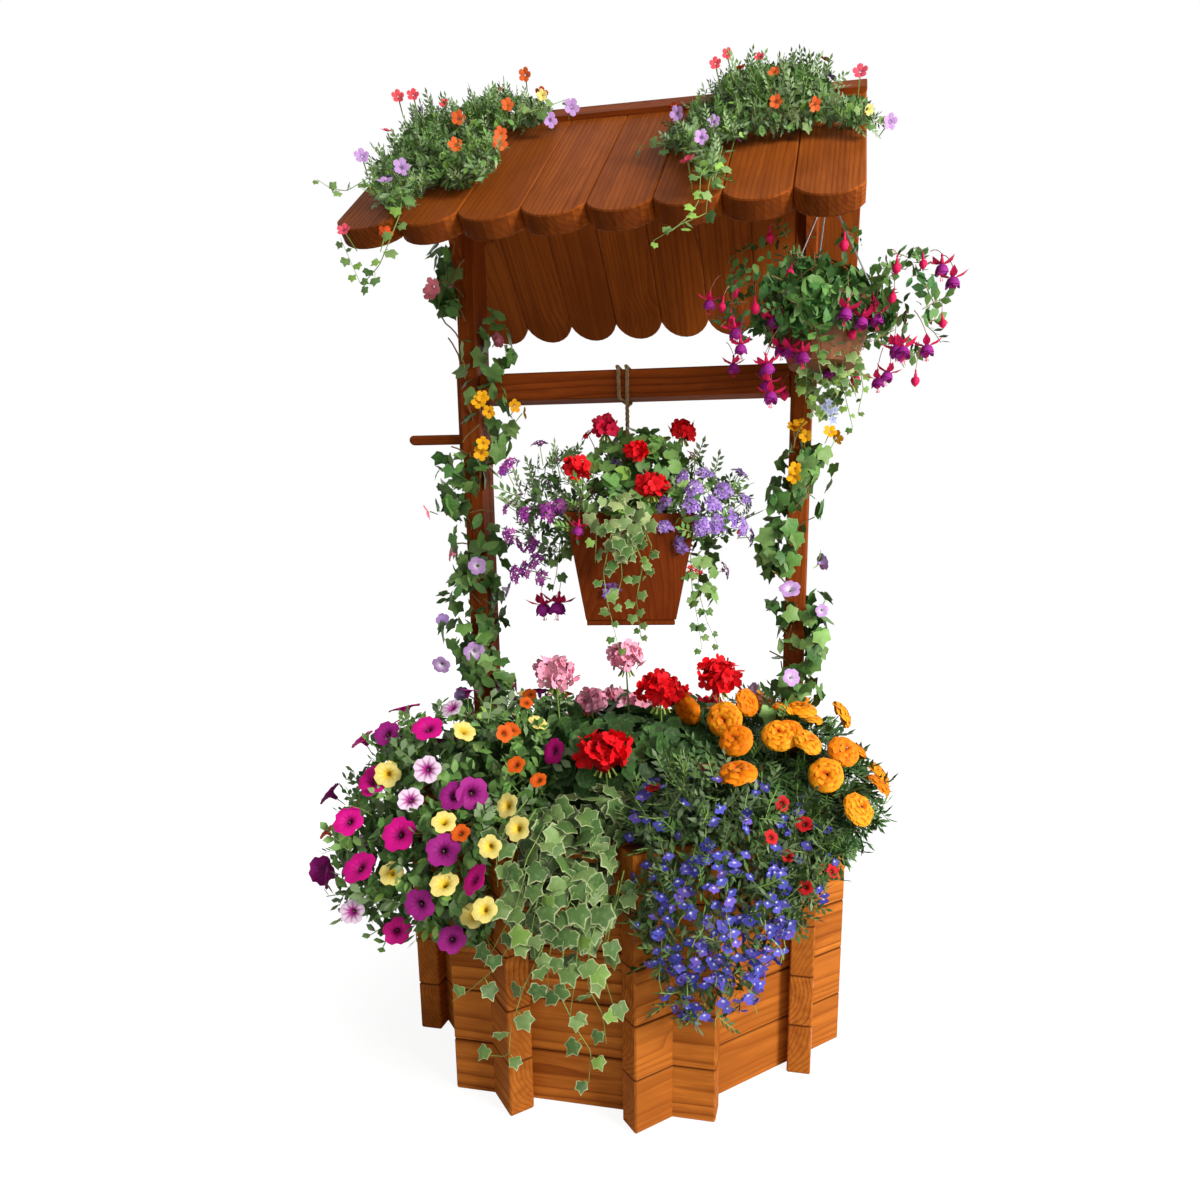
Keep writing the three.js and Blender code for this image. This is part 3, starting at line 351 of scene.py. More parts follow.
# %% Compost, wire, basket
def crumb(name, light, dark, scale, rough, height):
    f = Finish(name)
    grain = f.noise(f.place(), scale, 5.0, 0.7)
    f.bump(grain, 0.8, height)
    return f.set(base_color=f.mix(grain.between(0.35, 0.7), dark, light), roughness=rough)


dress("soil", crumb("compost", paint("4a3526"), paint("170f0a"), 90.0, 0.95, 0.006))
dress("basket_pot", crumb("moulded_plastic", paint("8c5226"), paint("6e401d"), 60.0, 0.55, 0.0004))
wire = Finish("bright_wire")
wire_grain = wire.noise(wire.place(), 900.0, 2.0)
wire.set(base_color=wire.mix(wire_grain, paint("8d9296"), paint("bfc3c6")),
         roughness=wire_grain * 0.25 + 0.22, metallic=1.0)
for name in ("roof_eye", "basket_hook", "basket_hanger"):
    dress(name, wire.material)
print("finishes so far:", len(bpy.data.materials))

# %% [markdown]
# ## Many small shapes in one mesh
# Leaves and petals are too many to be objects of their own. They could be instances, but the
# finished piece has to be plain mesh. So a bunch gathers the points and faces of its small shapes
# and makes one mesh, in which every point carries its own colour.

# %% A bunch
class Bunch:
    """Gathers points, triangles and colours, and makes one mesh of them.

    A point has a hue, the colour of its shape's eye, how far the eye reaches, and its rim value,
    which runs from 0 in the middle of a leaf or petal to 1 at its edge."""

    def __init__(self):
        self.points, self.faces, self.hues, self.eyes, self.rims = [], [], [], [], []
        self.count = 0

    def add(self, points, faces, hues, rims, eyes=None, reach=0.0):
        points = np.asarray(points, float).reshape(-1, 3)
        self.faces.append(np.asarray(faces, int) + self.count)
        self.points.append(points)
        hues = np.broadcast_to(hues, points.shape)
        self.hues.append(np.concatenate([hues, np.full((len(points), 1), reach)], axis=1))
        eyes = np.broadcast_to(hues if eyes is None else eyes, points.shape)
        self.eyes.append(np.concatenate([eyes, np.ones((len(points), 1))], axis=1))
        self.rims.append(np.broadcast_to(rims, len(points)))
        self.count += len(points)

    def tube(self, line, radius, hue, sides=4, end_radius=None):
        """A closed tube along a line of points."""
        line = np.asarray(line, float)
        n = len(line)
        radii = np.linspace(radius, radius if end_radius is None else end_radius, n)
        way = np.gradient(line, axis=0)
        way /= np.linalg.norm(way, axis=1)[:, None] + 1e-12
        first = np.cross(way[0], [0.31, 0.17, 0.93])
        side = first / (np.linalg.norm(first) + 1e-12)
        rings = []
        for i in range(n):
            side = side - way[i] * (side @ way[i])
            side /= np.linalg.norm(side) + 1e-12
            other = np.cross(way[i], side)
            angles = np.arange(sides) * (2 * np.pi / sides)
            rings.append(line[i] + radii[i] * (np.cos(angles)[:, None] * side
                                               + np.sin(angles)[:, None] * other))
        points = np.concatenate([*rings, line[:1] - way[:1] * radii[0] * 0.3,
                                 line[-1:] + way[-1:] * radii[-1] * 0.3])
        i, j = np.meshgrid(np.arange(n - 1), np.arange(sides), indexing="ij")
        a, b = i * sides + j, i * sides + (j + 1) % sides
        c, d = a + sides, b + sides
        wall = np.concatenate([np.stack([a, b, d], -1).reshape(-1, 3),
                               np.stack([a, d, c], -1).reshape(-1, 3)])
        k = np.arange(sides)
        foot, head = n * sides, n * sides + 1
        caps = np.concatenate([
            np.stack([np.full(sides, foot), (k + 1) % sides, k], -1),
            np.stack([np.full(sides, head), k + (n - 1) * sides,
                      (k + 1) % sides + (n - 1) * sides], -1)])
        self.add(points, np.concatenate([wall, caps]), hue, 0.0)

    def make(self, name, body, slot, material, smooth=50, replaces=()):
        """Makes the mesh and its object, which rides on a body in place of the nodes it replaces."""
        points, faces = np.concatenate(self.points), np.concatenate(self.faces)
        mesh = bpy.data.meshes.new(name)
        mesh.from_pydata(points, [], faces.tolist())
        for key, colours in (("hue", self.hues), ("eye", self.eyes)):
            layer = mesh.attributes.new(key, "FLOAT_COLOR", "POINT")
            layer.data.foreach_set("color", np.concatenate(colours).astype(np.float32).ravel())
        rim = mesh.attributes.new("rim", "FLOAT", "POINT")
        rim.data.foreach_set("value", np.concatenate(self.rims).astype(np.float32))
        piece = bpy.data.objects.new(name, mesh)
        bpy.context.collection.objects.link(piece)
        mesh.materials.append(material)
        choose_none()
        piece.select_set(True)
        bpy.context.view_layer.objects.active = piece
        bpy.ops.object.shade_smooth_by_angle(angle=math.radians(smooth))
        if body:
            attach(piece, body)
        if replaces:
            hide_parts(*replaces)
        print(f"{name}: {len(faces)} triangles")
        return piece


print("layers: hue, eye, rim")

# %% [markdown]
# ## Twisted rope
# Jute rope is three strands laid round each other. A plain tube would look like wire, so each
# rope is three thin tubes that wind about the rope's line, with a little fuzz of fibres in the
# finish. The line itself is the route that the model's own rope takes, because it is taut.

# %% Jute
rope_hue = (0.4, 0.3, 0.2)
jute = Finish("jute")
jute_spot = jute.place()
jute_fibre = jute.noise(jute_spot, 1400.0, 3.0, 0.65)
jute_tone = jute.noise(jute_spot, 130.0, 2.0)
jute.bump(jute_fibre, 0.7, 0.0006)
jute.set(roughness=jute_fibre * 0.1 + 0.82, base_color=jute.mix(
    jute_fibre.between(0.3, 0.75), paint("6d5236"),
    jute.mix(jute_tone.between(0.35, 0.65), paint("a98a5e"), paint("c2a678"))))


print("jute: fibres over", rope_hue)


# %% Laying three strands round a line
def fine_line(line, step):
    """The same route with points at an even step."""
    line = np.asarray(line, float)
    lengths = np.concatenate([[0], np.cumsum(np.linalg.norm(np.diff(line, axis=0), axis=1))])
    wanted = np.linspace(0, lengths[-1], max(2, int(lengths[-1] / step) + 1))
    return np.stack([np.interp(wanted, lengths, line[:, k]) for k in range(3)], axis=1)


# Shares of the rope's diameter: how far a strand lies from the middle, how thick it is, how much
# rope one turn of a strand takes, and the step between points.
strand_offset_share, strand_radius_share, lay_length_share, point_step_share = 0.262, 0.236, 3.6, 0.3


def laid_rope(bunch, line, diameter, strands=3, sides=6):
    """Strands that wind about a line, a strand's width apart."""
    line = fine_line(line, diameter * point_step_share)
    way = np.gradient(line, axis=0)
    way /= np.linalg.norm(way, axis=1)[:, None]
    side = np.cross(way[0], [0.9, 0.1, 0.31])
    far, strand = diameter * strand_offset_share, diameter * strand_radius_share
    lay_length = diameter * lay_length_share
    step = np.linalg.norm(line[1] - line[0])
    frames = []
    for i in range(len(line)):
        side = side - way[i] * (side @ way[i])
        side /= np.linalg.norm(side)
        frames.append((side.copy(), np.cross(way[i], side)))
    for k in range(strands):
        angles = [2 * math.pi * (k / strands + i * step / lay_length) for i in range(len(line))]
        route = [p + far * (math.cos(a) * s + math.sin(a) * o)
                 for p, a, (s, o) in zip(line, angles, frames)]
        bunch.tube(route, strand, rope_hue, sides)
    return line


print("strand:", strand_radius_share * 2, "of the rope")

# %% [markdown]
# ## The rope on the beam
# The rope winds round a square beam, so its line is straight along each face and bends round each
# edge. A curve with a bevel would have no strands, so the line is worked out point by point, a
# quarter of the beam at a time.

# %% The winding
rope_x, beam_height, beam_half = -0.003, 1.228, 0.025
rope_gap, rope_size = 0.0003, 0.008
rope_y = -beam_half - rope_gap - rope_size / 2
turns, turn_width, corner_points = 6, 0.016, 5


def wound_line():
    """The model's own winding: up the front face, and round six quarters of the beam."""
    bend, line = rope_gap + rope_size / 2, []
    total = turns * (corner_points + 1)

    def lay_point(quarters, across, height):
        spin = -quarters * quarter
        share = min(max((len(line) - 1) / (total - 2), 0), 1)
        line.append((rope_x - share * turn_width * turns / 4,
                     across * math.cos(spin) - height * math.sin(spin),
                     beam_height + across * math.sin(spin) + height * math.cos(spin)))

    for quarters in range(turns):
        lay_point(quarters, rope_y, 0)
        for corner in range(corner_points):
            angle = corner / (corner_points - 1) * quarter
            lay_point(quarters, -beam_half - bend * math.cos(angle), beam_half + bend * math.sin(angle))
    lay_point(turns, rope_y, 0)
    return line


print("winding:", len(wound_line()), "points")


# %% Rope on the winch beam, and down to the knot
def cord_piece(name, line, diameter, body, replaces=()):
    """One rope: its mesh."""
    bunch = Bunch()
    path = laid_rope(bunch, line, diameter)
    piece = bunch.make(name, body, "jute", jute.material, 60, replaces)
    tuple(path[0])
    [tuple(p) for p in path]
    return piece


cord_piece("rope_on_beam", wound_line(), rope_size, "winch", ("rope_winding",))
line_top, knot_height, knot_size = beam_height - rope_gap, 1.096, 0.024
line_foot = knot_height + knot_size / 2 + rope_gap
hanging = cord_piece("rope_to_pot", [(rope_x, rope_y, line_top), (rope_x, rope_y, line_foot)],
                     rope_size, None, ("rope_line",))
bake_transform(hanging)

# %% [markdown]
# ## The knot and the four legs
# Below the straight stretch the rope is knotted, and four thinner legs run to the pot's corners.
# A knot looks right only if it is one: a trefoil is the simplest route that is truly knotted.

# %% Knot and legs
# The legs end at the pot's corners, inside its wall and a little above its rim.
bail_size, foot_size, leg_end_gap = 0.006, 0.010, 0.004
pot_rim_half, pot_wall_half, bail_drop = 0.116, 0.007, 0.108
bail_reach = pot_rim_half - pot_wall_half - foot_size / 4
rim_height = knot_height - bail_drop + rope_gap + foot_size / 2
top_knot_reach, top_knot_radius, foot_knot_reach, foot_knot_radius = 0.0085, 0.0032, 0.0034, 0.0016


def trefoil(centre, reach, points):
    """A closed trefoil whose widest radius is about reach."""
    t = np.linspace(0, 2 * np.pi, points, endpoint=False)
    shape = np.stack([np.sin(t) + 2 * np.sin(2 * t), np.cos(t) - 2 * np.cos(2 * t),
                      -1.6 * np.sin(3 * t)], axis=1)
    return shape * (reach / 3) + centre


knot_centre = np.array([rope_x, rope_y, knot_height])
knots = Bunch()


def knot(centre, reach, radius, points, sides):
    """A knot as one closed tube in the bunch of knots."""
    loop = trefoil(centre, reach, points)
    knots.tube(np.concatenate([loop, loop[:2]]), radius, rope_hue, sides)


knot(knot_centre, top_knot_reach, top_knot_radius, 48, 8)
for leg in range(4):
    angle = pot_angle + quarter / 2 + leg * quarter
    reach = bail_reach * math.sqrt(2)
    foot = knot_centre + [reach * math.cos(angle), reach * math.sin(angle), rim_height - knot_height]
    way = knot_centre - foot
    way /= np.linalg.norm(way)
    knot(foot, foot_knot_reach, foot_knot_radius, 30, 6)
    cord_piece(f"bail_leg_{leg + 1}", [foot, knot_centre - way * leg_end_gap], bail_size, "pot")
knots.make("bail_knots", "pot", "jute", jute.material, 60, ("rope_bail",))

# %% [markdown]
# ## Leaves and petals as moulds
# A planter in full flower shows some ten thousand leaves, so each kind of leaf or petal is
# modelled once, with few faces, and copied. A flat cone with a closed foot is a good start: it is
# a closed blade with an upper and a lower side, and pulling its rim points in and out gives
# lobes, teeth and points.

# %% Moulds
class Mould:
    """One small closed shape, read from an object that is then removed."""

    def __init__(self, piece):
        mesh = piece.data
        mesh.calc_loop_triangles()
        self.points = np.array([v.co for v in mesh.vertices])
        self.faces = np.array([t.vertices for t in mesh.loop_triangles])
        marked = mesh.attributes.get("edge")
        self.rim = np.array([v.value for v in marked.data]) if marked else np.zeros(len(self.points))
        bpy.data.objects.remove(piece)

    def copy_to(self, bunch, turns, places, hues, eyes=None, reach=0.3):
        """One copy for each turn and place, each with its hue and the colour of its eye."""
        turns, places = np.asarray(turns, float), np.asarray(places, float)
        n, m = len(places), len(self.points)
        if not n:
            return
        points = np.einsum("nij,mj->nmi", turns, self.points) + places[:, None]
        faces = self.faces[None] + (np.arange(n) * m)[:, None, None]
        hues = np.repeat(np.broadcast_to(hues, (n, 3)), m, axis=0)
        eyes = None if eyes is None else np.repeat(np.broadcast_to(eyes, (n, 3)), m, axis=0)
        bunch.add(points.reshape(-1, 3), faces.reshape(-1, 3), hues, np.tile(self.rim, n), eyes,
                  reach)


print("a mould keeps points, faces and rim values")


# %% Choosing and moving points
def set_mode(name):
    bpy.ops.object.mode_set(mode=name)


def resize(value):
    """Scales the selected points about the middle."""
    bpy.ops.transform.resize(value=value, center_override=(0, 0, 0))


def choose(test):
    """Selects, in edit mode, the points of the active mesh that pass a test on their place."""
    bpy.ops.mesh.select_all(action="DESELECT")
    set_mode("OBJECT")
    for vertex in bpy.context.object.data.vertices:
        vertex.select = bool(test(vertex.co))
    set_mode("EDIT")


def pull(test, value):
    """Scales the points that pass a test about the middle."""
    choose(test)
    resize(value)


def push(test, value):
    """Moves the points that pass a test."""
    choose(test)
    bpy.ops.transform.translate(value=value)


def around(co):
    """Angle of a point about Z in whole degrees, from +Y, the tip of a blade."""
    return round(math.degrees(math.atan2(co.x, co.y))) % 360


print("+X lies at", around(Vector((1, 0, 0))), "degrees")

# %% [markdown]
# ## A blade
# Every leaf and petal starts from the same blade, whose outline says how far each rim point
# reaches. A plane cut to shape would be simpler, but it isn't closed. The middle is raised, the
# sides fold up and the tip droops, so that light catches each leaf differently.

# %% Blades
middle_reach, fold_from, droop_from = 0.01, 0.25, 0.4


def blade(outline, dish=0.1, thick=0.012, fold=0.0, droop=0.0):
    """A closed blade with a point on its rim for each reach in outline, from the tip round."""
    choose_none()
    n = len(outline)
    bpy.ops.mesh.primitive_cone_add(vertices=n, radius1=1, radius2=0, depth=1,
                                    end_fill_type="TRIFAN")
    piece = bpy.context.object
    set_mode("EDIT")
    bpy.ops.mesh.select_mode(type="VERT")
    push(lambda co: co.to_2d().length > 0.5, (0, 0, 0.5))
    bpy.ops.mesh.select_all(action="SELECT")
    resize((1, 1, thick))
    step = 360 / n
    for index, reach in enumerate(outline):
        pull(lambda co: abs(co.to_2d().length - 1) < 0.001
             and abs((around(co) - index * step + 180) % 360 - 180) < 2, (reach, reach, 1))
    push(lambda co: co.to_2d().length < middle_reach, (0, 0, dish))
    if fold:
        push(lambda co: abs(co.x) > fold_from, (0, 0, fold))
    if droop:
        push(lambda co: co.y > droop_from, (0, 0, -droop))
    set_mode("OBJECT")
    edge = piece.data.attributes.new("edge", "FLOAT", "POINT")
    edge.data.foreach_set("value", [float(v.co.to_2d().length > middle_reach)
                                    for v in piece.data.vertices])
    return piece


ivy_outline = [1.15, 0.68, 0.92, 0.68, 0.8, 0.58, 0.34, 0.58, 0.8, 0.68, 0.92, 0.68]
ivy_leaf = Mould(blade(ivy_outline, 0.14, droop=0.1))
oval_leaf = Mould(blade([1.0, 0.62, 0.44, 0.5, 0.85, 0.5, 0.44, 0.62], 0.0, fold=0.1, droop=0.2))
slim_leaf = Mould(blade([1.0, 0.32, 0.9, 0.32], 0.06, thick=0.04))
fuchsia_leaf = Mould(blade([1.0, 0.62, 0.46, 0.47, 0.55, 0.86, 0.55, 0.47, 0.46, 0.62], 0.0,
                           fold=0.1, droop=0.22))
round_leaf = Mould(blade([1.0, 0.93, 1.02, 0.93, 1.0, 0.9, 0.92, 0.35, 0.92, 0.9, 1.0, 0.93, 1.02,
                          0.93], -0.18))
star_floret = Mould(blade([1.0, 0.48, 0.95, 0.48, 0.85, 0.42, 0.85, 0.48, 0.95, 0.48], -0.12))
# Three broad lobes hang below, and two small ones stand above.
lip_floret = Mould(blade([1.1, 0.8, 1.0, 1.04, 0.62, 0.3, 0.62, 0.34, 0.34, 0.62, 0.3, 0.62, 1.04,
                          1.0, 0.8], -0.16))
print("ivy leaf:", len(ivy_leaf.faces), "triangles")


# %% Joining parts, and marking their edges
def join_moulds(pieces):
    """Joins objects into the first of them."""
    choose_none()
    for piece in pieces:
        piece.select_set(True)
    bpy.context.view_layer.objects.active = pieces[0]
    bpy.ops.object.join()
    return bpy.context.object


def set_edge(piece, value):
    """Gives all of a piece, or each point by a function of its place, one edge share."""
    if value is None:
        return piece
    edge = piece.data.attributes.get("edge") or piece.data.attributes.new("edge", "FLOAT", "POINT")
    take = value if callable(value) else (lambda co: value)
    edge.data.foreach_set("value", [float(take(v.co)) for v in piece.data.vertices])
    return piece


def place_piece(piece, turn, shift):
    """Turns a mould's part about X, Y and Z, and moves it, with its place in its mesh."""
    spin = (Matrix.Rotation(turn[2], 4, "Z") @ Matrix.Rotation(turn[1], 4, "Y")
            @ Matrix.Rotation(turn[0], 4, "X"))
    piece.data.transform(Matrix.Translation(shift) @ spin)
    return piece


print("edge shares: 0 in the middle, 1 at the rim")


# %% [markdown]
# ## Petunia
# A petunia is a funnel with five joined lobes. It could be a turned shape, but turning makes
# every side alike. So it starts as a disc whose rings are drawn down
# into a throat. The soft lobes come from moving every fourth rim point inwards.

# %% Petunia flower
throat_depth, lobe_turn, petal_thickness = 0.75, 72, 0.03
funnel_rings = ((0.2, 0.42), (0.34, 0.21), (0.68, 0.1), (1.0, -0.02))


def petunia():
    """A funnel from the throat's foot outwards, ring by ring, each with its reach and its lift."""
    choose_none()
    bpy.ops.mesh.primitive_circle_add(vertices=20, radius=0.12, fill_type="NGON")
    piece = bpy.context.object
    set_mode("EDIT")
    bpy.ops.mesh.select_mode(type="FACE")
    bpy.ops.mesh.select_all(action="SELECT")
    bpy.ops.transform.translate(value=(0, 0, -throat_depth))
    bpy.ops.mesh.select_mode(type="EDGE")
    bpy.ops.mesh.select_all(action="DESELECT")
    bpy.ops.mesh.select_non_manifold()
    for reach, lift in funnel_rings:
        bpy.ops.mesh.extrude_edges_move()
        set_mode("OBJECT")
        old = min(v.co.to_2d().length for v in piece.data.vertices if v.select)
        set_mode("EDIT")
        resize((reach / old, reach / old, 1))
        bpy.ops.transform.translate(value=(0, 0, lift))
    bpy.ops.mesh.select_mode(type="VERT")
    outer = lambda co: co.to_2d().length > 0.9
    notch = lambda co: outer(co) and around(co) % lobe_turn in (0, 1, lobe_turn - 1)
    pull(notch, (0.84, 0.84, 1))
    push(lambda co: outer(co) and 30 < around(co) % lobe_turn < 42, (0, 0, -0.08))
    bpy.ops.mesh.select_all(action="SELECT")
    bpy.ops.mesh.normals_make_consistent(inside=False)
    set_mode("OBJECT")
    # The throat's colour runs out along ten veins.
    vein_turn = lobe_turn // 2
    vein = lambda co: 0.6 if around(co) % vein_turn in (0, 1, vein_turn - 1) else 1.0
    set_edge(piece, lambda co: min(1.0, co.to_2d().length / 0.9) * vein(co))
    wall = piece.modifiers.new("wall", "SOLIDIFY")
    wall.thickness, wall.offset = petal_thickness, 0.0
    bpy.ops.object.modifier_apply(modifier="wall")
    return piece


petunia_flower = Mould(petunia())
print("petunia:", len(petunia_flower.faces), "triangles")


# %% [markdown]
# ## Geranium florets
# Geraniums, marigolds and fuchsias are built from parts, petals round a centre or in layers. A
# geranium's floret is the simplest: five broad petals in one ring, each leaning up a little.

# %% Petals in a ring
def copies(piece, count):
    """The piece and its copies, each with a mesh of its own."""
    made = [piece]
    for _ in range(count - 1):
        twin = piece.copy()
        twin.data = piece.data.copy()
        bpy.context.collection.objects.link(twin)
        made.append(twin)
    return made


def ring_of(outline, count, reach, tilt, lift, size, edge=1.0, spin=0.0, **options):
    """Blades in a ring, each leaning up from flat by its tilt."""
    first = set_edge(blade(outline, **options), edge)
    first.data.transform(Matrix.Diagonal((size[0], size[1], size[1], 1)))
    place_piece(first, (tilt, 0, 0), (0, reach, 0))
    made = copies(first, count)
    for k, petal in enumerate(made):
        place_piece(petal, (0, 0, spin + 2 * math.pi * k / count), (0, 0, lift))
    return made


petal_outline = [1.0, 0.94, 0.7, 0.55, 0.8, 0.55, 0.7, 0.94]
floret = join_moulds(ring_of(petal_outline, 5, 0.5, 0.3, 0.0, (0.58, 0.58), None, dish=0.12))
geranium_floret = Mould(set_edge(floret, lambda co: min(1.0, co.to_2d().length)))
print("geranium floret:", len(geranium_floret.faces), "triangles")

# %% [markdown]
# ## Marigold
# A marigold is a dome of ruffled petals. A ball with a bumpy finish would be cheaper, but its
# outline would stay round. Each petal is a blade that leans out more towards the rim, and the
# golden angle from one to the next spreads them evenly, as they grow.

# %% Marigold flower
petal_turn = 2.39996
pompon_first_lean, pompon_last_lean = 6, 102


def pompon(count=44):
    """A dome of ruffled petals that overlap like scales, in a spiral from the middle outwards."""
    first = blade([0.9, 1.1, 0.82, 0.5, 0.4, 0.5, 0.82, 1.1], 0.3, thick=0.1)
    made = copies(set_edge(first, lambda co: max(0.0, min(1.0, co.y + 0.3))), count)
    for k, petal in enumerate(made):
        share = (k + 0.5) / count
        lean = math.radians(pompon_first_lean
                            + (pompon_last_lean - pompon_first_lean) * share ** 0.8)
        petal.data.transform(Matrix.Scale(0.26 + 0.12 * share, 4))
        place_piece(petal, (0.5 + 0.3 * share - lean, 0.3 * math.sin(k * 1.9), 0),
                    (0, 0.7 * math.sin(lean), 0.25 * math.cos(lean)))
        place_piece(petal, (0, 0, k * petal_turn), (0, 0, 0))
    return join_moulds(made)


marigold_flower = Mould(pompon())
print("marigold:", len(marigold_flower.faces), "triangles")


# %% [markdown]
# ## Fuchsia
# A fuchsia hangs: a seed pod and a tube, four sepals that lift outwards, and a bell of petals with
# long stamens. Pod, tube, bell and bud are round, so each is a short cylinder whose lower face is
# extruded and resized step by step. The sepals and petals are blades.

# %% Fuchsia flower and bud
def spindle(profile, segments, edge):
    """A closed turned shape along -Z, from pairs of radius and depth, by extruding its lower face."""
    choose_none()
    bpy.ops.mesh.primitive_cylinder_add(vertices=segments, radius=profile[0][0], depth=0.02,
                                        end_fill_type="NGON")
    piece = bpy.context.object
    set_mode("EDIT")
    bpy.ops.mesh.select_mode(type="FACE")
    bpy.ops.mesh.select_all(action="DESELECT")
    set_mode("OBJECT")
    for face in piece.data.polygons:
        face.select = face.normal.z < -0.9
    set_mode("EDIT")
    radius = profile[0][0]
    depth = 0.01
    for wide, deep in profile[1:]:
        bpy.ops.mesh.extrude_region_move(TRANSFORM_OT_translate={"value": (0, 0, -(deep - depth))})
        resize((wide / radius, wide / radius, 1))
        radius, depth = wide, deep
    set_mode("OBJECT")
    return set_edge(piece, edge)


def fuchsia(open_wide):
    """A hanging flower: seed pod and tube, four sepals, and a bell of petals with stamens."""
    pod = [(0.05, 0), (0.09, 0.08), (0.06, 0.18), (0.09, 0.26), (0.14, 0.5), (0.1, 0.56)]
    parts = [spindle(pod, 7, 1.0)]
    if open_wide:
        sepal = [1.0, 0.5, 0.34, 0.4, 0.5, 0.4, 0.34, 0.5]
        parts += ring_of(sepal, 4, 0.42, 0.3, -0.5, (0.62, 0.56), 1.0, 0.4, dish=0.06, thick=0.06,
                         droop=-0.3)
        parts += ring_of(petal_outline, 5, 0.24, -0.95, -0.92, (0.3, 0.34), 0.0, 0.3, dish=0.1,
                         thick=0.06)
        bell = spindle([(0.12, 0), (0.3, 0.12), (0.4, 0.34), (0.42, 0.48), (0.3, 0.44),
                        (0.1, 0.3)], 9, 0.0)
        parts.append(place_piece(bell, (0, 0, 0), (0, 0, -0.54)))
        for k in range(4):
            thread = spindle([(0.014, 0), (0.014, 0.6), (0.035, 0.64), (0.02, 0.7)], 3, 1.0)
            parts.append(place_piece(thread, (0.14 * math.cos(k * 1.7), 0.14 * math.sin(k * 1.7), 0),
                                     (0, 0, -0.8)))
    else:
        bud = spindle([(0.12, 0), (0.3, 0.14), (0.36, 0.36), (0.26, 0.58), (0.04, 0.78)], 8, 1.0)
        parts.append(place_piece(bud, (0, 0, 0), (0, 0, -0.5)))
    return join_moulds(parts)


fuchsia_flower, fuchsia_bud = Mould(fuchsia(True)), Mould(fuchsia(False))
print("fuchsia:", len(fuchsia_flower.faces), "triangles")

# %% [markdown]
# ## Sprigs
# Fine growth is a stem with small leaves on both sides. Such a sprig is a mould too: its stem has
# the edge share 0 and its leaves 1, so one copy can carry a stem colour and a leaf colour.

# %% Three sprigs
def sprig(pairs, leaf, bow, outline=(1.0, 0.4, 0.85, 0.4), lean=0.9):
    """A bowed stem along +Y, with leaves by turns on its two sides and one at its tip."""
    first = set_edge(blade(outline, 0.05, thick=0.05), 1.0)
    first.data.transform(Matrix.Translation((0, leaf * 0.9, 0)) @ Matrix.Scale(leaf, 4))
    made = copies(first, pairs * 2 + 1)
    for k, petal in enumerate(made):
        along = 0.18 + 0.74 * k / (pairs * 2)
        side = 0 if k == pairs * 2 else (1 if k % 2 else -1)
        place_piece(petal, (0.35, 0, -side * lean), (0, along, bow * along * along))
    choose_none()
    bpy.ops.mesh.primitive_cylinder_add(vertices=3, radius=0.022, depth=1)
    stem = bpy.context.object
    set_mode("EDIT")
    bpy.ops.mesh.select_all(action="SELECT")
    bpy.ops.transform.translate(value=(0, 0, 0.5))
    bpy.ops.mesh.bisect(plane_co=(0, 0, 0.5), plane_no=(0, 0, 1))
    set_mode("OBJECT")
    place_piece(stem, (-quarter, 0, 0), (0, 0, 0))
    for vertex in stem.data.vertices:
        vertex.co.z += bow * vertex.co.y ** 2
    made.append(set_edge(stem, 0.0))
    return Mould(join_moulds(made))


fine_sprig = sprig(3, 0.2, 0.25)
leafy_sprig = sprig(2, 0.28, -0.3, (1.0, 0.6, 0.44, 0.85, 0.44, 0.6))
feather_leaf = sprig(3, 0.3, -0.15, (1.0, 0.3, 0.9, 0.3), 0.75)
print("sprigs:", len(fine_sprig.faces), len(leafy_sprig.faces), "triangles")

# %% [markdown]
# ## Finishes for leaves and petals
# Every copy carries its colour in the mesh, so one finish serves all flowers. The finish adds
# what is finer than a face: cream edges on the ivy, a dark ring on geranium leaves, mottling on
# leaves and fine veins in petals.

# %% Leaf and petal finishes
mottle_scale, patch_scale, vein_scale, shade_scale = 130.0, 38.0, 420.0, 90.0
leaf_shine, petal_shine = 0.3, 0.15


def carried(f, soft, rough_edge):
    """The copy's colour, with its eye's colour inside the eye's reach, and its rim value."""
    rim = f.node("ShaderNodeAttribute", {"attribute_name": "rim"}, output="Fac")
    eye = f.node("ShaderNodeAttribute", {"attribute_name": "eye"}, output="Color")
    hue = f.node("ShaderNodeAttribute", {"attribute_name": "hue"}, output="Color")
    reach = Wire(f, hue.socket.node.outputs["Alpha"])
    return f.mix((rim + rough_edge).between(reach - soft, reach + soft), eye, hue), rim


def leaf_finish(name, edge_colour=None, edge_at=0.72, edge_share=0.6, ring=0.0, rough=0.45):
    """Mottled green, with a pale edge or a dark ring where the plant has one."""
    f = Finish(name)
    spot = f.place()
    mottle = f.noise(spot, mottle_scale, 3.0, 0.6)
    patch = f.noise(spot, patch_scale, 2.0)
    hue, rim = carried(f, 0.05, 0.06)
    pale = f.mix(0.35, hue, paint("cfdc9a"))
    colour = f.mix(mottle.between(0.5, 0.8) * 0.5, hue, pale)
    colour = f.mix(patch.between(0.5, 0.75) * 0.3, colour, f.mix(0.5, colour, paint("1f3d16")))
    if ring:
        band = rim.between(0.38, 0.5) * (1 - rim.between(0.62, 0.74))
        colour = f.mix(band * ring, colour, f.mix(0.7, colour, paint("2c2a12")))
    if edge_colour:
        lip = (rim + mottle * 0.35 - 0.17).between(edge_at, edge_at + 0.1)
        colour = f.mix(lip * edge_share, colour, edge_colour)
    f.bump(mottle, 0.25, 0.0015)
    f.shader.inputs["Specular IOR Level"].default_value = leaf_shine
    return f.set(base_color=colour, roughness=mottle * 0.15 + rough)


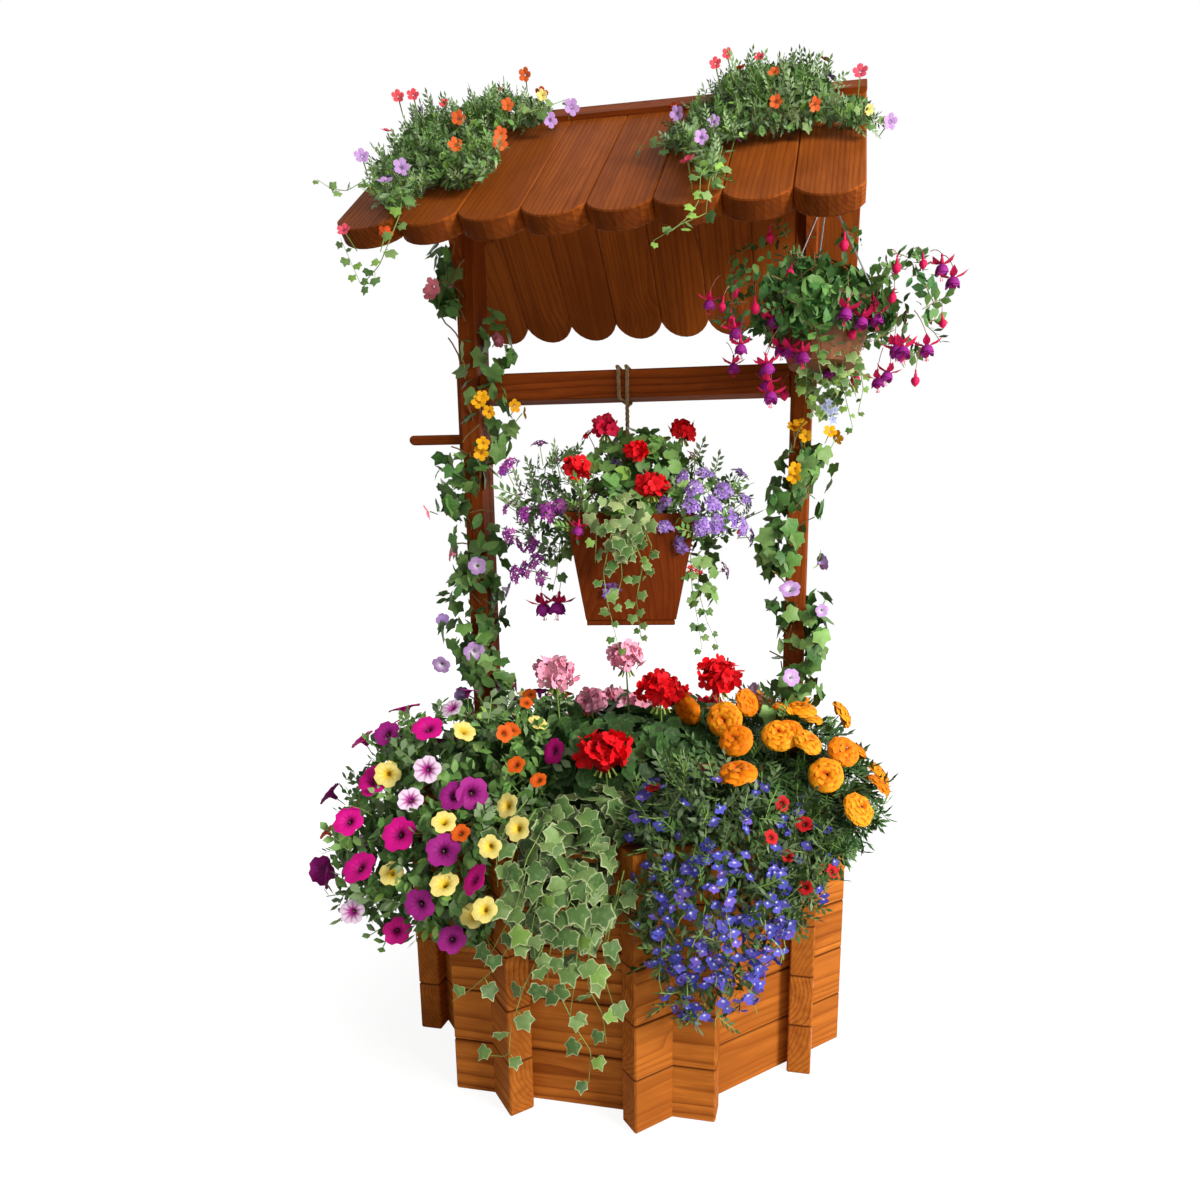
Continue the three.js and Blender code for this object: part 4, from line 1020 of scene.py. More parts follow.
def petal_finish(name):
    """The copy's colour, with fine veins and soft shades of its own deeper tone."""
    f = Finish(name)
    spot = f.place()
    vein = f.noise(spot, vein_scale, 3.0, 0.7)
    shade = f.noise(spot, shade_scale, 2.0)
    hue, _ = carried(f, 0.2, (vein - 0.5) * 0.25)
    deeper = f.mix(1.0, hue, hue, "MULTIPLY")
    colour = f.mix(vein.between(0.5, 0.8) * 0.3, hue, deeper)
    colour = f.mix(shade.between(0.5, 0.75) * 0.25, colour, deeper)
    f.bump(vein, 0.3, 0.001)
    f.shader.inputs["Specular IOR Level"].default_value = petal_shine
    return f.set(base_color=colour, roughness=vein * 0.2 + 0.5)


green_leaf = leaf_finish("green_leaf")
cream_ivy = leaf_finish("pale_edged_ivy", paint("d0d8a4"), 0.85, 0.5)
dark_ivy = leaf_finish("ivy", paint("b9c98c"), 0.95, 0.4)
zoned_leaf = leaf_finish("geranium_leaf", ring=0.6, rough=0.55)
petals = petal_finish("petals")
print("finishes in all:", len(bpy.data.materials))

# %% [markdown]
# ## Growing a plant on its solid
# The model holds each mass of growth as a plain closed solid. Leaves are set on points of that
# solid's surface and a little inside it, so they stay in the room that the model gives them.
# Geometry nodes could scatter them too, but points from a seeded generator are the same on every
# run, and the script can ask where each one lies.

# %% Directions, and places in the photograph
up = np.array([0.0, 0.0, 1.0])
beyond_all = 99
# How many of the photograph's pixels a metre takes, at the crib, at the pot and on the roof.
crib_scale, pot_scale, roof_scale = 560, 500, 480


def unit(v):
    """Directions of length 1."""
    v = np.asarray(v, float)
    return v / (np.linalg.norm(v, axis=-1, keepdims=True) + 1e-12)


def to_camera(places):
    """Directions from places to the camera."""
    return unit(np.array(camera_place) - places)


def in_photo(points):
    """Where points appear in the photograph, in its pixels."""
    way = np.asarray(points, float) - np.array(camera_place)
    far = way @ np.array(ahead)
    across = way @ np.array(rightward) / far * focal_share + principal_x
    down = way @ np.array(upward) / far * -focal_share + principal_y
    return np.stack([across, down], axis=-1) * photo_pixels


def within(points, ovals):
    """Which points appear inside any oval, each given by its middle and its half widths."""
    spots = in_photo(points)
    return np.any([(((spots - oval[:2]) / oval[2:]) ** 2).sum(1) < 1
                   for oval in np.array(ovals, float)], axis=0)


def inside(ovals):
    """A test that keeps the places which appear inside the ovals."""
    return lambda p, n: within(p, ovals)


print("the knot appears at", in_photo(knot_centre).round())


# %% A plant's solid
class Growth:
    """The solid of one plant, with a seeded generator of its own."""

    def __init__(self, node, seed):
        self.node, self.rng = node, np.random.default_rng(seed)
        mesh = nodes[node].data
        mesh.calc_loop_triangles()
        self.points = np.array([v.co for v in mesh.vertices])
        self.faces = np.array([t.vertices for t in mesh.loop_triangles])
        self.tree = BVHTree.FromPolygons(self.points.tolist(), self.faces.tolist())
        a, b, c = (self.points[self.faces[:, k]] for k in range(3))
        cross = np.cross(b - a, c - a)
        self.areas, self.normals = np.linalg.norm(cross, axis=1) / 2, unit(cross)
        self.low, self.high = self.points.min(0), self.points.max(0)
        self.clearings = []

    def spots(self, count, depth=0.03, bias=1.6, proud=0.004, keep=None):
        """Places on the surface and up to depth inside it, the outward ways there and the depths."""
        pick = self.rng.choice(len(self.faces), count, p=self.areas / self.areas.sum())
        r, s = self.rng.random(count), self.rng.random(count)
        flip = r + s > 1
        r[flip], s[flip] = 1 - r[flip], 1 - s[flip]
        a, b, c = (self.points[self.faces[pick, k]] for k in range(3))
        place = a + (b - a) * r[:, None] + (c - a) * s[:, None]
        out = self.normals[pick]
        share = self.rng.random(count) ** bias
        place = place + out * (proud - share * depth)[:, None]
        kept = np.full(count, True) if keep is None else keep(place, out)
        if self.clearings:
            to_front = to_camera(place)
            kept = kept & ~(within(place, self.clearings) & ((out * to_front).sum(1) > -0.2))
        return place[kept], out[kept], share[kept]

    def clear(self, pixels, reach):
        """Keeps the room in front of the photograph's flowers free of leaves."""
        self.clearings += [(*spot, reach, reach) for spot in pixels]

    def spread(self, count, gap, **options):
        """Surface places that keep at least a gap from each other, for flowers."""
        place, out, _ = self.spots(count * 12, depth=0.0, **options)
        kept = []
        for i, p in enumerate(place):
            if all(np.linalg.norm(p - place[j]) > gap for j in kept):
                kept.append(i)
            if len(kept) >= count:
                break
        return place[kept], out[kept]

    def seen(self, pixels, proud=0.006):
        """Places where lines of sight through the photograph meet the solid, or pass nearest it.

        A line that misses is followed to its nearest point in a few rounds, and the place lies
        between the solid and the line, but no more than near_miss from the solid."""
        near_miss = 0.03
        places, ways = [], []
        for across, down in pixels:
            way = sight(across, down)
            hit, normal, _, _ = self.tree.ray_cast(camera_place, way)
            if hit is None:
                middle = Vector((self.low + self.high) / 2)
                hit = camera_place + way * (middle - camera_place).dot(way)
                near, normal, _, far = self.tree.find_nearest(hit)
                for _ in range(4):
                    hit = camera_place + way * (near - camera_place).dot(way)
                    near, normal, _, far = self.tree.find_nearest(hit)
                reach = min(far, near_miss)
                hit = near + (hit - near).normalized() * reach if far > 1e-6 else near
            places.append(np.array(hit + normal * proud))
            ways.append(np.array(normal))
        return np.array(places), np.array(ways)


def first_seen(growths, pixels, proud=0.012):
    """As Growth.seen, on the plant that each line of sight meets first.

    A line that meets no plant goes to the first plant in the list."""
    places, ways = [], []
    for across, down in pixels:
        hits = [(grown.tree.ray_cast(camera_place, sight(across, down))[3] or beyond_all, k)
                for k, grown in enumerate(growths)]
        place, way = growths[min(hits)[1]].seen([(across, down)], proud)
        places.append(place[0])
        ways.append(way[0])
    return np.array(places), np.array(ways)


plant_names = [name for name in nodes if "plants" in name or name.startswith(("base_", "post_ivy"))]
print("plant solids:", plant_names)

# %% [markdown]
# ## Leaves
# Each leaf faces outwards and up, with its tip down, as leaves hang for light and rain. Leaves
# deeper inside are darker, partly because they are older and partly as painted shade in the thick of the
# plant.

# %% Setting leaves
def faced(ways, tips, rng, jitter=0.35, size=1.0, spread=0.2):
    """Turns for copies whose Z is near ways and whose Y is near tips, scaled to a size each."""
    n = len(ways)
    z = unit(ways + rng.normal(0, jitter, (n, 3)))
    y = tips + rng.normal(0, jitter, (n, 3))
    y = unit(y - z * (y * z).sum(1, keepdims=True))
    x = np.cross(y, z)
    sizes = size * (1 + rng.uniform(-spread, spread, n))
    return np.stack([x, y, z], axis=2) * sizes[:, None, None]


def tones(rng, count, colours, vary=0.18):
    """One colour for each copy, picked from a few and varied in brightness."""
    colours = np.array(colours)
    picked = colours[rng.integers(0, len(colours), count)]
    return np.clip(picked * (1 + rng.uniform(-vary, vary, (count, 1))), 0, 1)


def leaves(bunch, growth, mould, count, size, colours, depth=0.035, lift=0.45, proud=0.004,
           jitter=0.35, inner_age_and_shade=0.6, keep=None, out_tip=0.35, front=0.0):
    """Sets leaves on a plant's solid.

    lift turns them up, out_tip points their tips outwards, inner_age_and_shade darkens the deepest,
    as older leaves and as painted shade in the thick of the plant, and front turns those on the camera's
    side towards it."""
    place, out, share = growth.spots(count, depth, 1.6, proud, keep)
    to_front = to_camera(place)
    toward = np.clip((out * to_front).sum(1, keepdims=True) + 0.4, 0, 1) * front
    ways = unit(out + up * lift + to_front * toward)
    turns = faced(ways, out * out_tip - up, growth.rng, jitter, size)
    # Deeper leaves are darkened by a share: partly older leaves, partly painted shade inside the plant.
    hues = tones(growth.rng, len(place), colours) * (1 - inner_age_and_shade * share)[:, None]
    mould.copy_to(bunch, turns, place, hues)


def stalk(bunch, foot, head, radius, hue, sag=0.0, sides=3, points=5):
    """A thin stem from foot to head with a bow in it."""
    foot, head = np.asarray(foot, float), np.asarray(head, float)
    t = np.linspace(0, 1, points)[:, None]
    line = foot + (head - foot) * t + up * (4 * sag * t * (1 - t))
    bunch.tube(line, radius, hue, sides, radius * 0.7)


print("oval leaf:", len(oval_leaf.points), "points")

# %% [markdown]
# ## Trails
# Ivy hangs in single stems with a leaf at each joint. A free stem is walked point by point, as it
# sinks and wanders. Where the photograph shows a trail, its line comes from there instead, and
# leaves are set along it by turns.

# %% Stems and trails
def trail(start, length, rng, way, wander, step, sink):
    """Points of a free stem, which wanders and sinks on its way."""
    line, heading = [np.asarray(start, float)], unit(np.asarray(way, float))
    for _ in range(int(length / step)):
        heading = unit(heading + rng.normal(0, wander * 0.35, 3) * [1, 0.5, 0.4] - up * sink)
        line.append(line[-1] + heading * step)
    return np.array(line)


def leafy(bunch, line, mould, size, colours, rng, out, hue, every=2, radius=0.0011, taper=0.55):
    """A stem along a line, with a leaf on a short stalk at every few points."""
    bunch.tube(line, radius, hue, 4, radius * 0.5)
    rows = list(range(1, len(line), every))
    places, ways, tips, sizes = [], [], [], []
    for k, i in enumerate(rows):
        side = unit(np.cross(line[min(i + 1, len(line) - 1)] - line[i - 1], out))
        turn = (1 if k % 2 else -1) * side
        big = size * (1 - (1 - taper) * i / len(line)) * rng.uniform(0.8, 1.2)
        off = turn * big * rng.uniform(0.5, 1.0) + np.asarray(out) * big * 0.35 - up * big * 0.3
        bunch.tube([line[i], line[i] + off * 0.5 + up * big * 0.12, line[i] + off],
                   radius * 0.6, hue, 3)
        places.append(line[i] + off)
        ways.append(unit(np.asarray(out) + up * 0.35))
        tips.append(turn * 0.5 - up)
        sizes.append(big)
    if places:
        turns = faced(np.array(ways), np.array(tips), rng, 0.28, 1.0, 0.0)
        turns = turns * np.array(sizes)[:, None, None]
        mould.copy_to(bunch, turns, np.array(places), tones(rng, len(places), colours))


def sprigs(bunch, growth, mould, count, size, colours, stem, keep=None, lift=0.6):
    """Sprigs that stand out from a plant's solid, each with its foot on it."""
    place, out, share = growth.spots(count, 0.01, 1.0, 0.0, keep)
    ways = growth.rng.normal(0, 1, (len(place), 3)) + up
    turns = faced(ways, out + up * lift, growth.rng, 0.35, size, 0.35)
    # Deeper sprigs are darker: partly older growth, partly painted shade inside the plant.
    hues = tones(growth.rng, len(place), colours) * (1 - 0.3 * share)[:, None]
    mould.copy_to(bunch, turns, place, hues, stem, 0.5)


def mixed(rng, count, colours):
    """One of a few colours for each copy."""
    return np.array(colours)[rng.integers(0, len(colours), count)]


print("slim leaf:", len(slim_leaf.points), "points")

# %% Greens
leaf_greens = paints("5c8a3e 6c9b4a 4d7c35 7ba657")
deep_greens = paints("3f6f31 497c39 35612b")
ivy_greens = paints("6d9049 5a7f3f 7f9e5b 4b7134")
fresh_greens = paints("86b04c 98bf5e 76a046")
grey_greens = paints("7f9c6b 6d8c5c 92ad7e")
stem_green, stem_brown = paints("7d9a4c 7a6238")


def shaded(colours, share):
    """The same colours, darker, for plants that grow in each other's shade."""
    return [np.array(colour) * share for colour in colours]


def hang(bunch, growth, lines, size, colours, out=None, step=0.012, proud=0.006, **options):
    """Ivy stems with their leaves, along lines of places in the photograph."""
    for pixels in lines:
        places, ways = growth.seen(pixels, proud)
        faces = unit(ways.mean(0) + [0, -0.5, 0.3]) if out is None else out
        leafy(bunch, fine_line(places, step), ivy_leaf, size, colours, growth.rng, faces, stem_green,
              **options)


print("greens:", len(leaf_greens + deep_greens + ivy_greens))


# %% [markdown]
# ## The crib's planting
# From left to right: petunias that spill over the left corner, ivy down the front, geraniums on
# stalks in the middle, lobelia over the front right and marigolds at the right. The places of the
# large flowers come from the photograph, along lines of sight to the plant's own solid, and the
# sides that the photograph doesn't show are filled at the same spacing.

# %% Flowers and plants
stalk_radius = 0.0013


def flowers(bunch, growth, mould, places, ways, size, hues, eyes=None, reach=0.3, facing=0.9,
            jitter=0.2, stem=0.03, spread=0.12):
    """Flowers that face outwards, each on a short stalk that goes into the growth."""
    to_front = to_camera(places)
    front = (ways * to_front).sum(1, keepdims=True) > 0.1
    face = unit(ways + up * 0.25 + np.where(front, to_front * facing, 0))
    turns = faced(face, growth.rng.normal(0, 1, (len(places), 3)), growth.rng, jitter, size, spread)
    mould.copy_to(bunch, turns, places, hues, eyes, reach)
    for place, way, turn in zip(places, face, turns):
        stalk(bunch, place - unit(turn[:, 2]) * size * 0.3, place - way * stem - up * 0.01,
              stalk_radius, stem_green)


def hidden(growth, count, gap, limit=0.15, low=-0.45, **options):
    """Flower places on the parts of a solid that the photograph doesn't show."""
    def unseen(place, out):
        to_front = to_camera(place)
        return ((out * to_front).sum(1) < limit) & (out[:, 2] > low)
    return growth.spread(count, gap, keep=unseen, **options)


petunia, ivy = Growth("base_petunias", 11), Growth("base_ivy", 12)
geranium = Growth("base_geraniums", 13)
lobelia, marigold = Growth("base_lobelia", 14), Growth("base_marigolds", 15)
crib_growths = [petunia, ivy, geranium, lobelia, marigold]


def clear_all(pixels, reach):
    """Keeps every plant's leaves away from flowers, by a reach in the photograph's pixels."""
    for grown in crib_growths:
        grown.clear(pixels, reach)


print("crib plants:", [grown.node for grown in crib_growths])

# %% [markdown]
# ## Petunias
# The petunias at the left are large, in magenta, violet, veined and lemon, with small orange ones
# between them. Scattered by chance they would not match the picture, so each one in view stands
# where the photograph shows it. Each kind has its size, its colour and its eye.

# %% Petunias
magenta, purple, plum = paints("de1591 a62589 5c0c48")
lemon, honey, blush = paints("f1e186 ecc51e efd8ee")
magenta_spots = [
    (434, 735), (377, 790), (401, 832), (369, 865), (399, 920), (487, 879), (565, 754), (409, 716),
    (370, 745), (357, 825)]
violet_spots = [
    (428, 898), (446, 852), (454, 796), (474, 793), (454, 928), (333, 867), (340, 795), (468, 700)]
veined_spots = [(429, 770), (500, 700), (454, 718), (420, 800), (484, 690), (362, 905)]
lemon_spots = [
    (522, 807), (503, 850), (447, 824), (447, 880), (530, 832), (499, 903), (476, 907), (397, 775),
    (394, 871), (466, 738)]
small_spots = [(529, 781), (548, 794), (463, 835), (505, 743), (530, 710), (497, 748), (515, 718)]
all_spots = (magenta_spots, violet_spots, veined_spots, lemon_spots, small_spots)
kinds = ((0.0262, magenta, plum, 0.24), (0.0245, purple, plum, 0.28), (0.0215, blush, purple, 0.45),
         (0.0205, lemon, honey, 0.36), (0.014, paint("d96017"), paint("a5350c"), 0.3))
petunias_meet_ivy, further_out = 480, 0.015
leafage, bloom = Bunch(), Bunch()
for spots, (size, hue, eye, reach) in zip(all_spots, kinds):
    clear_all(spots, size * crib_scale)
    places, ways = first_seen(crib_growths, spots, 0.02)
    # Where petunias meet the ivy and the geraniums, they stand further out.
    in_others = in_photo(places)[:, :1] > petunias_meet_ivy
    places = places + ways * np.where(in_others, further_out, 0.0)
    flowers(bloom, petunia, petunia_flower, places, ways, size,
            tones(petunia.rng, len(places), [hue], 0.1), eye, reach, 0.95, 0.24)
places, ways = hidden(petunia, 40, 0.06, proud=0.02)
for k, (size, hue, eye, reach) in enumerate(kinds):
    flowers(bloom, petunia, petunia_flower, places[k::5], ways[k::5], size, hue, eye, reach)
leaves(leafage, petunia, oval_leaf, 3800, 0.0155, leaf_greens + grey_greens[:1], depth=0.06,
       lift=0.5, jitter=0.55)
leaves(leafage, petunia, oval_leaf, 900, 0.012, fresh_greens + leaf_greens, depth=0.015, lift=0.9,
       proud=0.008, jitter=0.6)
sprigs(leafage, petunia, leafy_sprig, 330, 0.036, leaf_greens + grey_greens, stem_green)
leafage.make("petunia_leaves", "well", "petunia", green_leaf, replaces=("base_petunias",))
bloom.make("petunia_flowers", "well", "petunia", petals)

# %% [markdown]
# ## Ivy down the front
# A pale-edged ivy fills the front, and its stems hang over the boards. The solid holds only the
# thick of it, so leaves fill that part, and each stem in the photograph is a line of places.

# %% Ivy
leafage = Bunch()
ivy_mass = [
    (592, 832, 52, 44), (585, 885, 50, 45), (562, 935, 34, 34), (528, 900, 20, 30), (522, 850, 32, 34)]
leaves(leafage, ivy, ivy_leaf, 1350, 0.0205, shaded(ivy_greens, 0.8), depth=0.045, lift=0.3,
       jitter=0.45, inner_age_and_shade=0.72, keep=lambda p, n: within(p, ivy_mass) & (n[:, 1] < 0.3))
strands = [
    [(545, 880), (520, 930), (500, 965), (475, 985), (458, 998)],
    [(555, 900), (545, 940), (525, 985), (515, 1022), (512, 1052), (492, 1052)],
    [(580, 900), (565, 940), (560, 990), (578, 1025), (588, 1050), (586, 1076)],
    [(600, 900), (590, 940), (585, 985), (600, 1010), (603, 1042)],
    [(615, 880), (605, 930), (600, 970), (610, 1000)], [(575, 890), (555, 930), (548, 965), (552, 1000)],
    [(530, 870), (520, 905), (500, 940), (488, 965)], [(620, 870), (612, 905), (598, 945)],
    [(540, 890), (535, 930), (540, 970)], [(540, 810), (524, 835), (514, 865), (508, 895)],
    [(532, 800), (512, 828), (500, 856), (502, 885)], [(545, 830), (530, 860), (522, 890)],
    [(590, 890), (580, 930), (575, 985), (570, 1020)]]
strand_greens = shaded(ivy_greens + fresh_greens[:1], 0.72)
hang(leafage, ivy, strands, 0.0205, strand_greens, [0.1, -1.0, 0.15], 0.015, 0.01, every=3,
     taper=0.75)
leafage.make("front_ivy", "well", "variegated_ivy", cream_ivy, 60, ("base_ivy",))

# %% [markdown]
# ## Geraniums
# A geranium's head is a ball of florets on a tall bare stalk, above round leaves with a dark
# ring. A lumpy ball would not look like petals, so florets are set on a sphere by the golden
# angle, each facing away from its middle, with a darker inner layer as painted shade inside the head.

# %% A flower head
golden_angle, head_twist = 2.399963, [0.3, 0.2, 0.9]


def flower_head(bunch, centre, way, reach, hue, rng, florets=24, size=0.0165):
    """A dome of florets in two layers, each facing away from the dome's middle."""
    # The inner layer's colours are darkened to 0.7: painted shade inside the head.
    for part, count, dark in ((1.0, florets, 1.0), (0.6, florets // 2, 0.7)):
        k = np.arange(count)
        height = 1 - 1.4 * (k + 0.5) / count
        angle = k * golden_angle
        ring = np.sqrt(1 - height ** 2)
        ball = np.stack([ring * np.cos(angle), ring * np.sin(angle), height], axis=1)
        spin = faced(np.array([way]), np.array([head_twist]), rng, 0.05, 1.0, 0.0)[0]
        out = ball @ spin.T
        place = centre + out * (reach - size * 0.4) * part * [1, 1, 0.8] * rng.uniform(
            0.75, 1.15, (count, 1))
        turns = faced(out, rng.normal(0, 1, (count, 3)), rng, 0.55, size, 0.2)
        geranium_floret.copy_to(bunch, turns, place, tones(rng, count, [hue], 0.22) * dark,
                                np.array(hue) * 0.7, 0.15)
    # Seven short stalks spread below the florets, 0.9 radians apart.
    k = np.arange(7)[:, None]
    below = centre - up * reach * 0.3
    for drop in np.concatenate([np.cos(k * 0.9), np.sin(k * 0.9), k * 0 - 1.6], axis=1):
        bunch.tube([below, below + unit(drop) * reach * 0.85], 0.0014, paint("9aa84e"), 3, 0.002)


print("a head's florets:", 24 + 24 // 2)

# %% Geraniums
scarlet, rose, crimson = paints("ec1420 ffb0c8 e02048")
leafage, bloom = Bunch(), Bunch()
highest_leaf, head_stalk = 0.62, 0.0022
head_spots = [
    ((556, 675), rose, 0.037), ((626, 661), rose, 0.034), ((592, 706), rose, 0.031),
    ((660, 692), scarlet, 0.040), ((718, 678), scarlet, 0.038), ((605, 750), scarlet, 0.042)]
for spot, hue, reach in head_spots:
    clear_all([spot], reach * crib_scale)
    (place,), (way,) = geranium.seen([spot], 0.008)
    face = unit(unit(way * 0.4 + up) + 0.35 * to_camera(place))
    flower_head(bloom, place, face, reach, hue, geranium.rng)
    stalk(leafage, place - [0, -0.02, 0.13], place - up * reach * 0.5, head_stalk, stem_green,
          points=6, sides=5)
back_heads = [
    (-0.12, 0.16, 0.66), (0.05, 0.23, 0.68), (0.2, 0.1, 0.665), (-0.02, 0.06, 0.7), (-0.2, 0.05, 0.65),
    (0.13, 0.3, 0.61), (-0.1, 0.31, 0.6)]
for k, place in enumerate(back_heads):
    near, normal, _, _ = geranium.tree.find_nearest(Vector(place))
    place = np.array(near) + unit(np.array(normal)) * 0.004
    flower_head(bloom, place, unit(np.array(normal) * 0.5 + up), 0.034,
                (rose, scarlet, crimson)[k % 3], geranium.rng)
    stalk(leafage, place - up * 0.11, place - up * 0.015, head_stalk, stem_green, points=6, sides=5)
leaves(leafage, geranium, round_leaf, 1900, 0.0195, shaded(deep_greens + leaf_greens[2:3], 0.64),
       depth=0.05, lift=0.5, jitter=0.4, out_tip=0.8, keep=lambda p, n: p[:, 2] < highest_leaf,
       proud=0.008, inner_age_and_shade=0.45, front=0.9)
leafage.make("geranium_leaves", "well", "geranium", zoned_leaf, 60, ("base_geraniums",))
bloom.make("geranium_heads", "well", "geranium", petals)

# %% [markdown]
# ## Lobelia
# Lobelia hangs over the front right as a fine green net full of small blue flowers. They are too
# many to place one by one, so they fill the part of the solid that is blue in the photograph, and
# are thin elsewhere. The marigolds' places come first, because lobelia leaves keep clear of them.

# %% Lobelia
gold_spots = [
    (738, 747), (735, 782), (787, 740), (835, 753), (822, 776), (854, 809), (870, 777), (835, 717),
    (722, 716), (752, 708), (765, 712), (800, 718), (695, 708), (740, 702), (806, 748), (777, 742)]
red_spots = [
    (657, 793), (776, 805), (802, 826), (765, 838), (785, 854), (704, 772), (803, 883), (835, 870),
    (832, 890), (826, 868)]
gold_room, red_room = 18, 8
clear_all(gold_spots, gold_room)
clear_all(red_spots, red_room)
lobelia_blues = paints("4f52b5 5f59bc 403fa1 6b56b5")
leafage, bloom = Bunch(), Bunch()
lower_half = [(725, 965, 80, 78)]


def thinned(share):
    """A test that keeps a share of the places in the lower half, and all others."""
    return lambda p, n: ~within(p, lower_half) | (lobelia.rng.random(len(p)) < share)


low_greens = shaded(leaf_greens + grey_greens, 0.52)
leaves(leafage, lobelia, slim_leaf, 4400, 0.012, low_greens, depth=0.04, lift=0.3, jitter=0.8,
       keep=thinned(0.4))
sprigs(leafage, lobelia, fine_sprig, 560, 0.036, low_greens, stem_green, keep=thinned(0.5))
lobelia_mass = [(722, 915, 72, 62), (740, 960, 50, 50), (690, 930, 40, 50)]
for count, keep in ((420, lambda p, n: n[:, 2] > -0.75),
                    (800, lambda p, n: within(p, lobelia_mass) & (n[:, 1] < 0.3))):
    place, out, _ = lobelia.spots(count, depth=0.01, proud=0.012, keep=keep)
    to_front = to_camera(place)
    turns = faced(unit(out + up * 0.1 + to_front * 0.5), np.tile(-up, (len(place), 1)), lobelia.rng,
                  0.4, 0.0098, 0.2)
    lip_floret.copy_to(bloom, turns, place, tones(lobelia.rng, len(place), lobelia_blues, 0.2),
                       paint("f4f4ff"), 0.16)
for k in range(24):
    # Every thirteenth flower has a thread.
    p, n = place[k * 13 % len(place)], out[k * 13 % len(place)]
    line = trail(p - n * 0.02 + up * 0.02, lobelia.rng.uniform(0.05, 0.09), lobelia.rng, way=n - up,
                 wander=0.7, step=0.01, sink=0.12)
    leafage.tube(line, 0.0008, stem_green, 3)
leafage.make("lobelia_leaves", "well", "lobelia", green_leaf, replaces=("base_lobelia",))
bloom.make("lobelia_flowers", "well", "lobelia", petals)

# %% [markdown]
# ## Marigolds
# Orange pompons stand close together on dark feathered leaves, with small red flowers at their
# feet. Those in view are placed one by one, as the petunias are, and the others are spread over
# the solid at a like spacing.

# %% Marigolds, and small red flowers at their feet
marigolds_begin = 700
# The rust at each petal's foot is partly the marigold's own deeper tone and partly painted shade in the
# hollows between its petals.
gold, amber, rust = paints("f5a21a f28a0e e16c06")
leafage, bloom = Bunch(), Bunch()
places, ways = first_seen([marigold] + crib_growths, gold_spots, 0.018)
hues = tones(marigold.rng, len(places), [gold, amber], 0.06)
flowers(bloom, marigold, marigold_flower, places, ways, 0.031, hues, rust, 0.5, 0.5, stem=0.05)
places, ways = hidden(marigold, 24, 0.07, proud=0.014, low=0.0)
to_the_right = in_photo(places)[:, 0] > marigolds_begin
places, ways = places[to_the_right], ways[to_the_right]
hues = tones(marigold.rng, len(places), [gold, amber], 0.06)
flowers(bloom, marigold, marigold_flower, places, ways, 0.025, hues, rust, 0.5, stem=0.05)
places, ways = first_seen([marigold] + crib_growths, red_spots, 0.012)
hues = tones(marigold.rng, len(places), [paint("bc1a1d")], 0.15)
flowers(bloom, marigold, petunia_flower, places, ways, 0.0125, hues, paint("6b0a10"))
leaves(leafage, marigold, feather_leaf, 2300, 0.036, shaded(deep_greens + leaf_greens[:1], 0.7),
       depth=0.06, lift=0.5, jitter=0.5, out_tip=0.7)
sprigs(leafage, marigold, feather_leaf, 260, 0.036, shaded(deep_greens + leaf_greens, 0.75),
       stem_green)
leafage.make("marigold_leaves", "well", "marigold", green_leaf, replaces=("base_marigolds",))
bloom.make("marigold_flowers", "well", "marigold", petals)

# %% [markdown]
# ## Climbers on the posts
# Two ivies climb the posts in loose bunches, with single small flowers. The posts show between
# the leaves, so the growth is sparser than on the crib. The winch, the crank and the pot move
# close by, so leaves and hidden flowers keep out of their room.

# %% Room for what moves
crank_gap, beam_room, pot_room_across, pot_room_up = 0.02, 0.08, 0.06, 0.05
crank_low, crank_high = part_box("crank_arm")
beam_low, beam_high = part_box("winch_beam")
pot_low, pot_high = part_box("pot_plants")
axle = (beam_low + beam_high) / 2
crank_reach = axle.z - crank_low.z + crank_gap


def crank_free(p):
    """Which places leave room for the crank, which sweeps beside the left post."""
    from_axle = np.hypot(p[:, 1] - axle.y, p[:, 2] - axle.z)
    return (p[:, 0] > crank_high.x + crank_gap) | (from_axle > crank_reach)


def swing_free(p):
    """Which places leave room for the turning beam and for the pot, which swings between the posts."""
    by_beam = np.hypot(p[:, 1] - axle.y, p[:, 2] - axle.z) < beam_room
    by_pot = (abs(p[:, 0]) < pot_high.x + pot_room_across) & (p[:, 2] > pot_low.z - pot_room_up)
    return ~by_beam & ~(by_pot & (p[:, 2] < pot_high.z + pot_room_up))


print("the crank reaches", round(crank_reach, 3), "m")

# %% A climber
inner_face, stem_line_y, stem_step = 0.31, -0.045, 0.035
climber_leaves, climber_small_leaves, climber_flowers = 1600, 600, 30


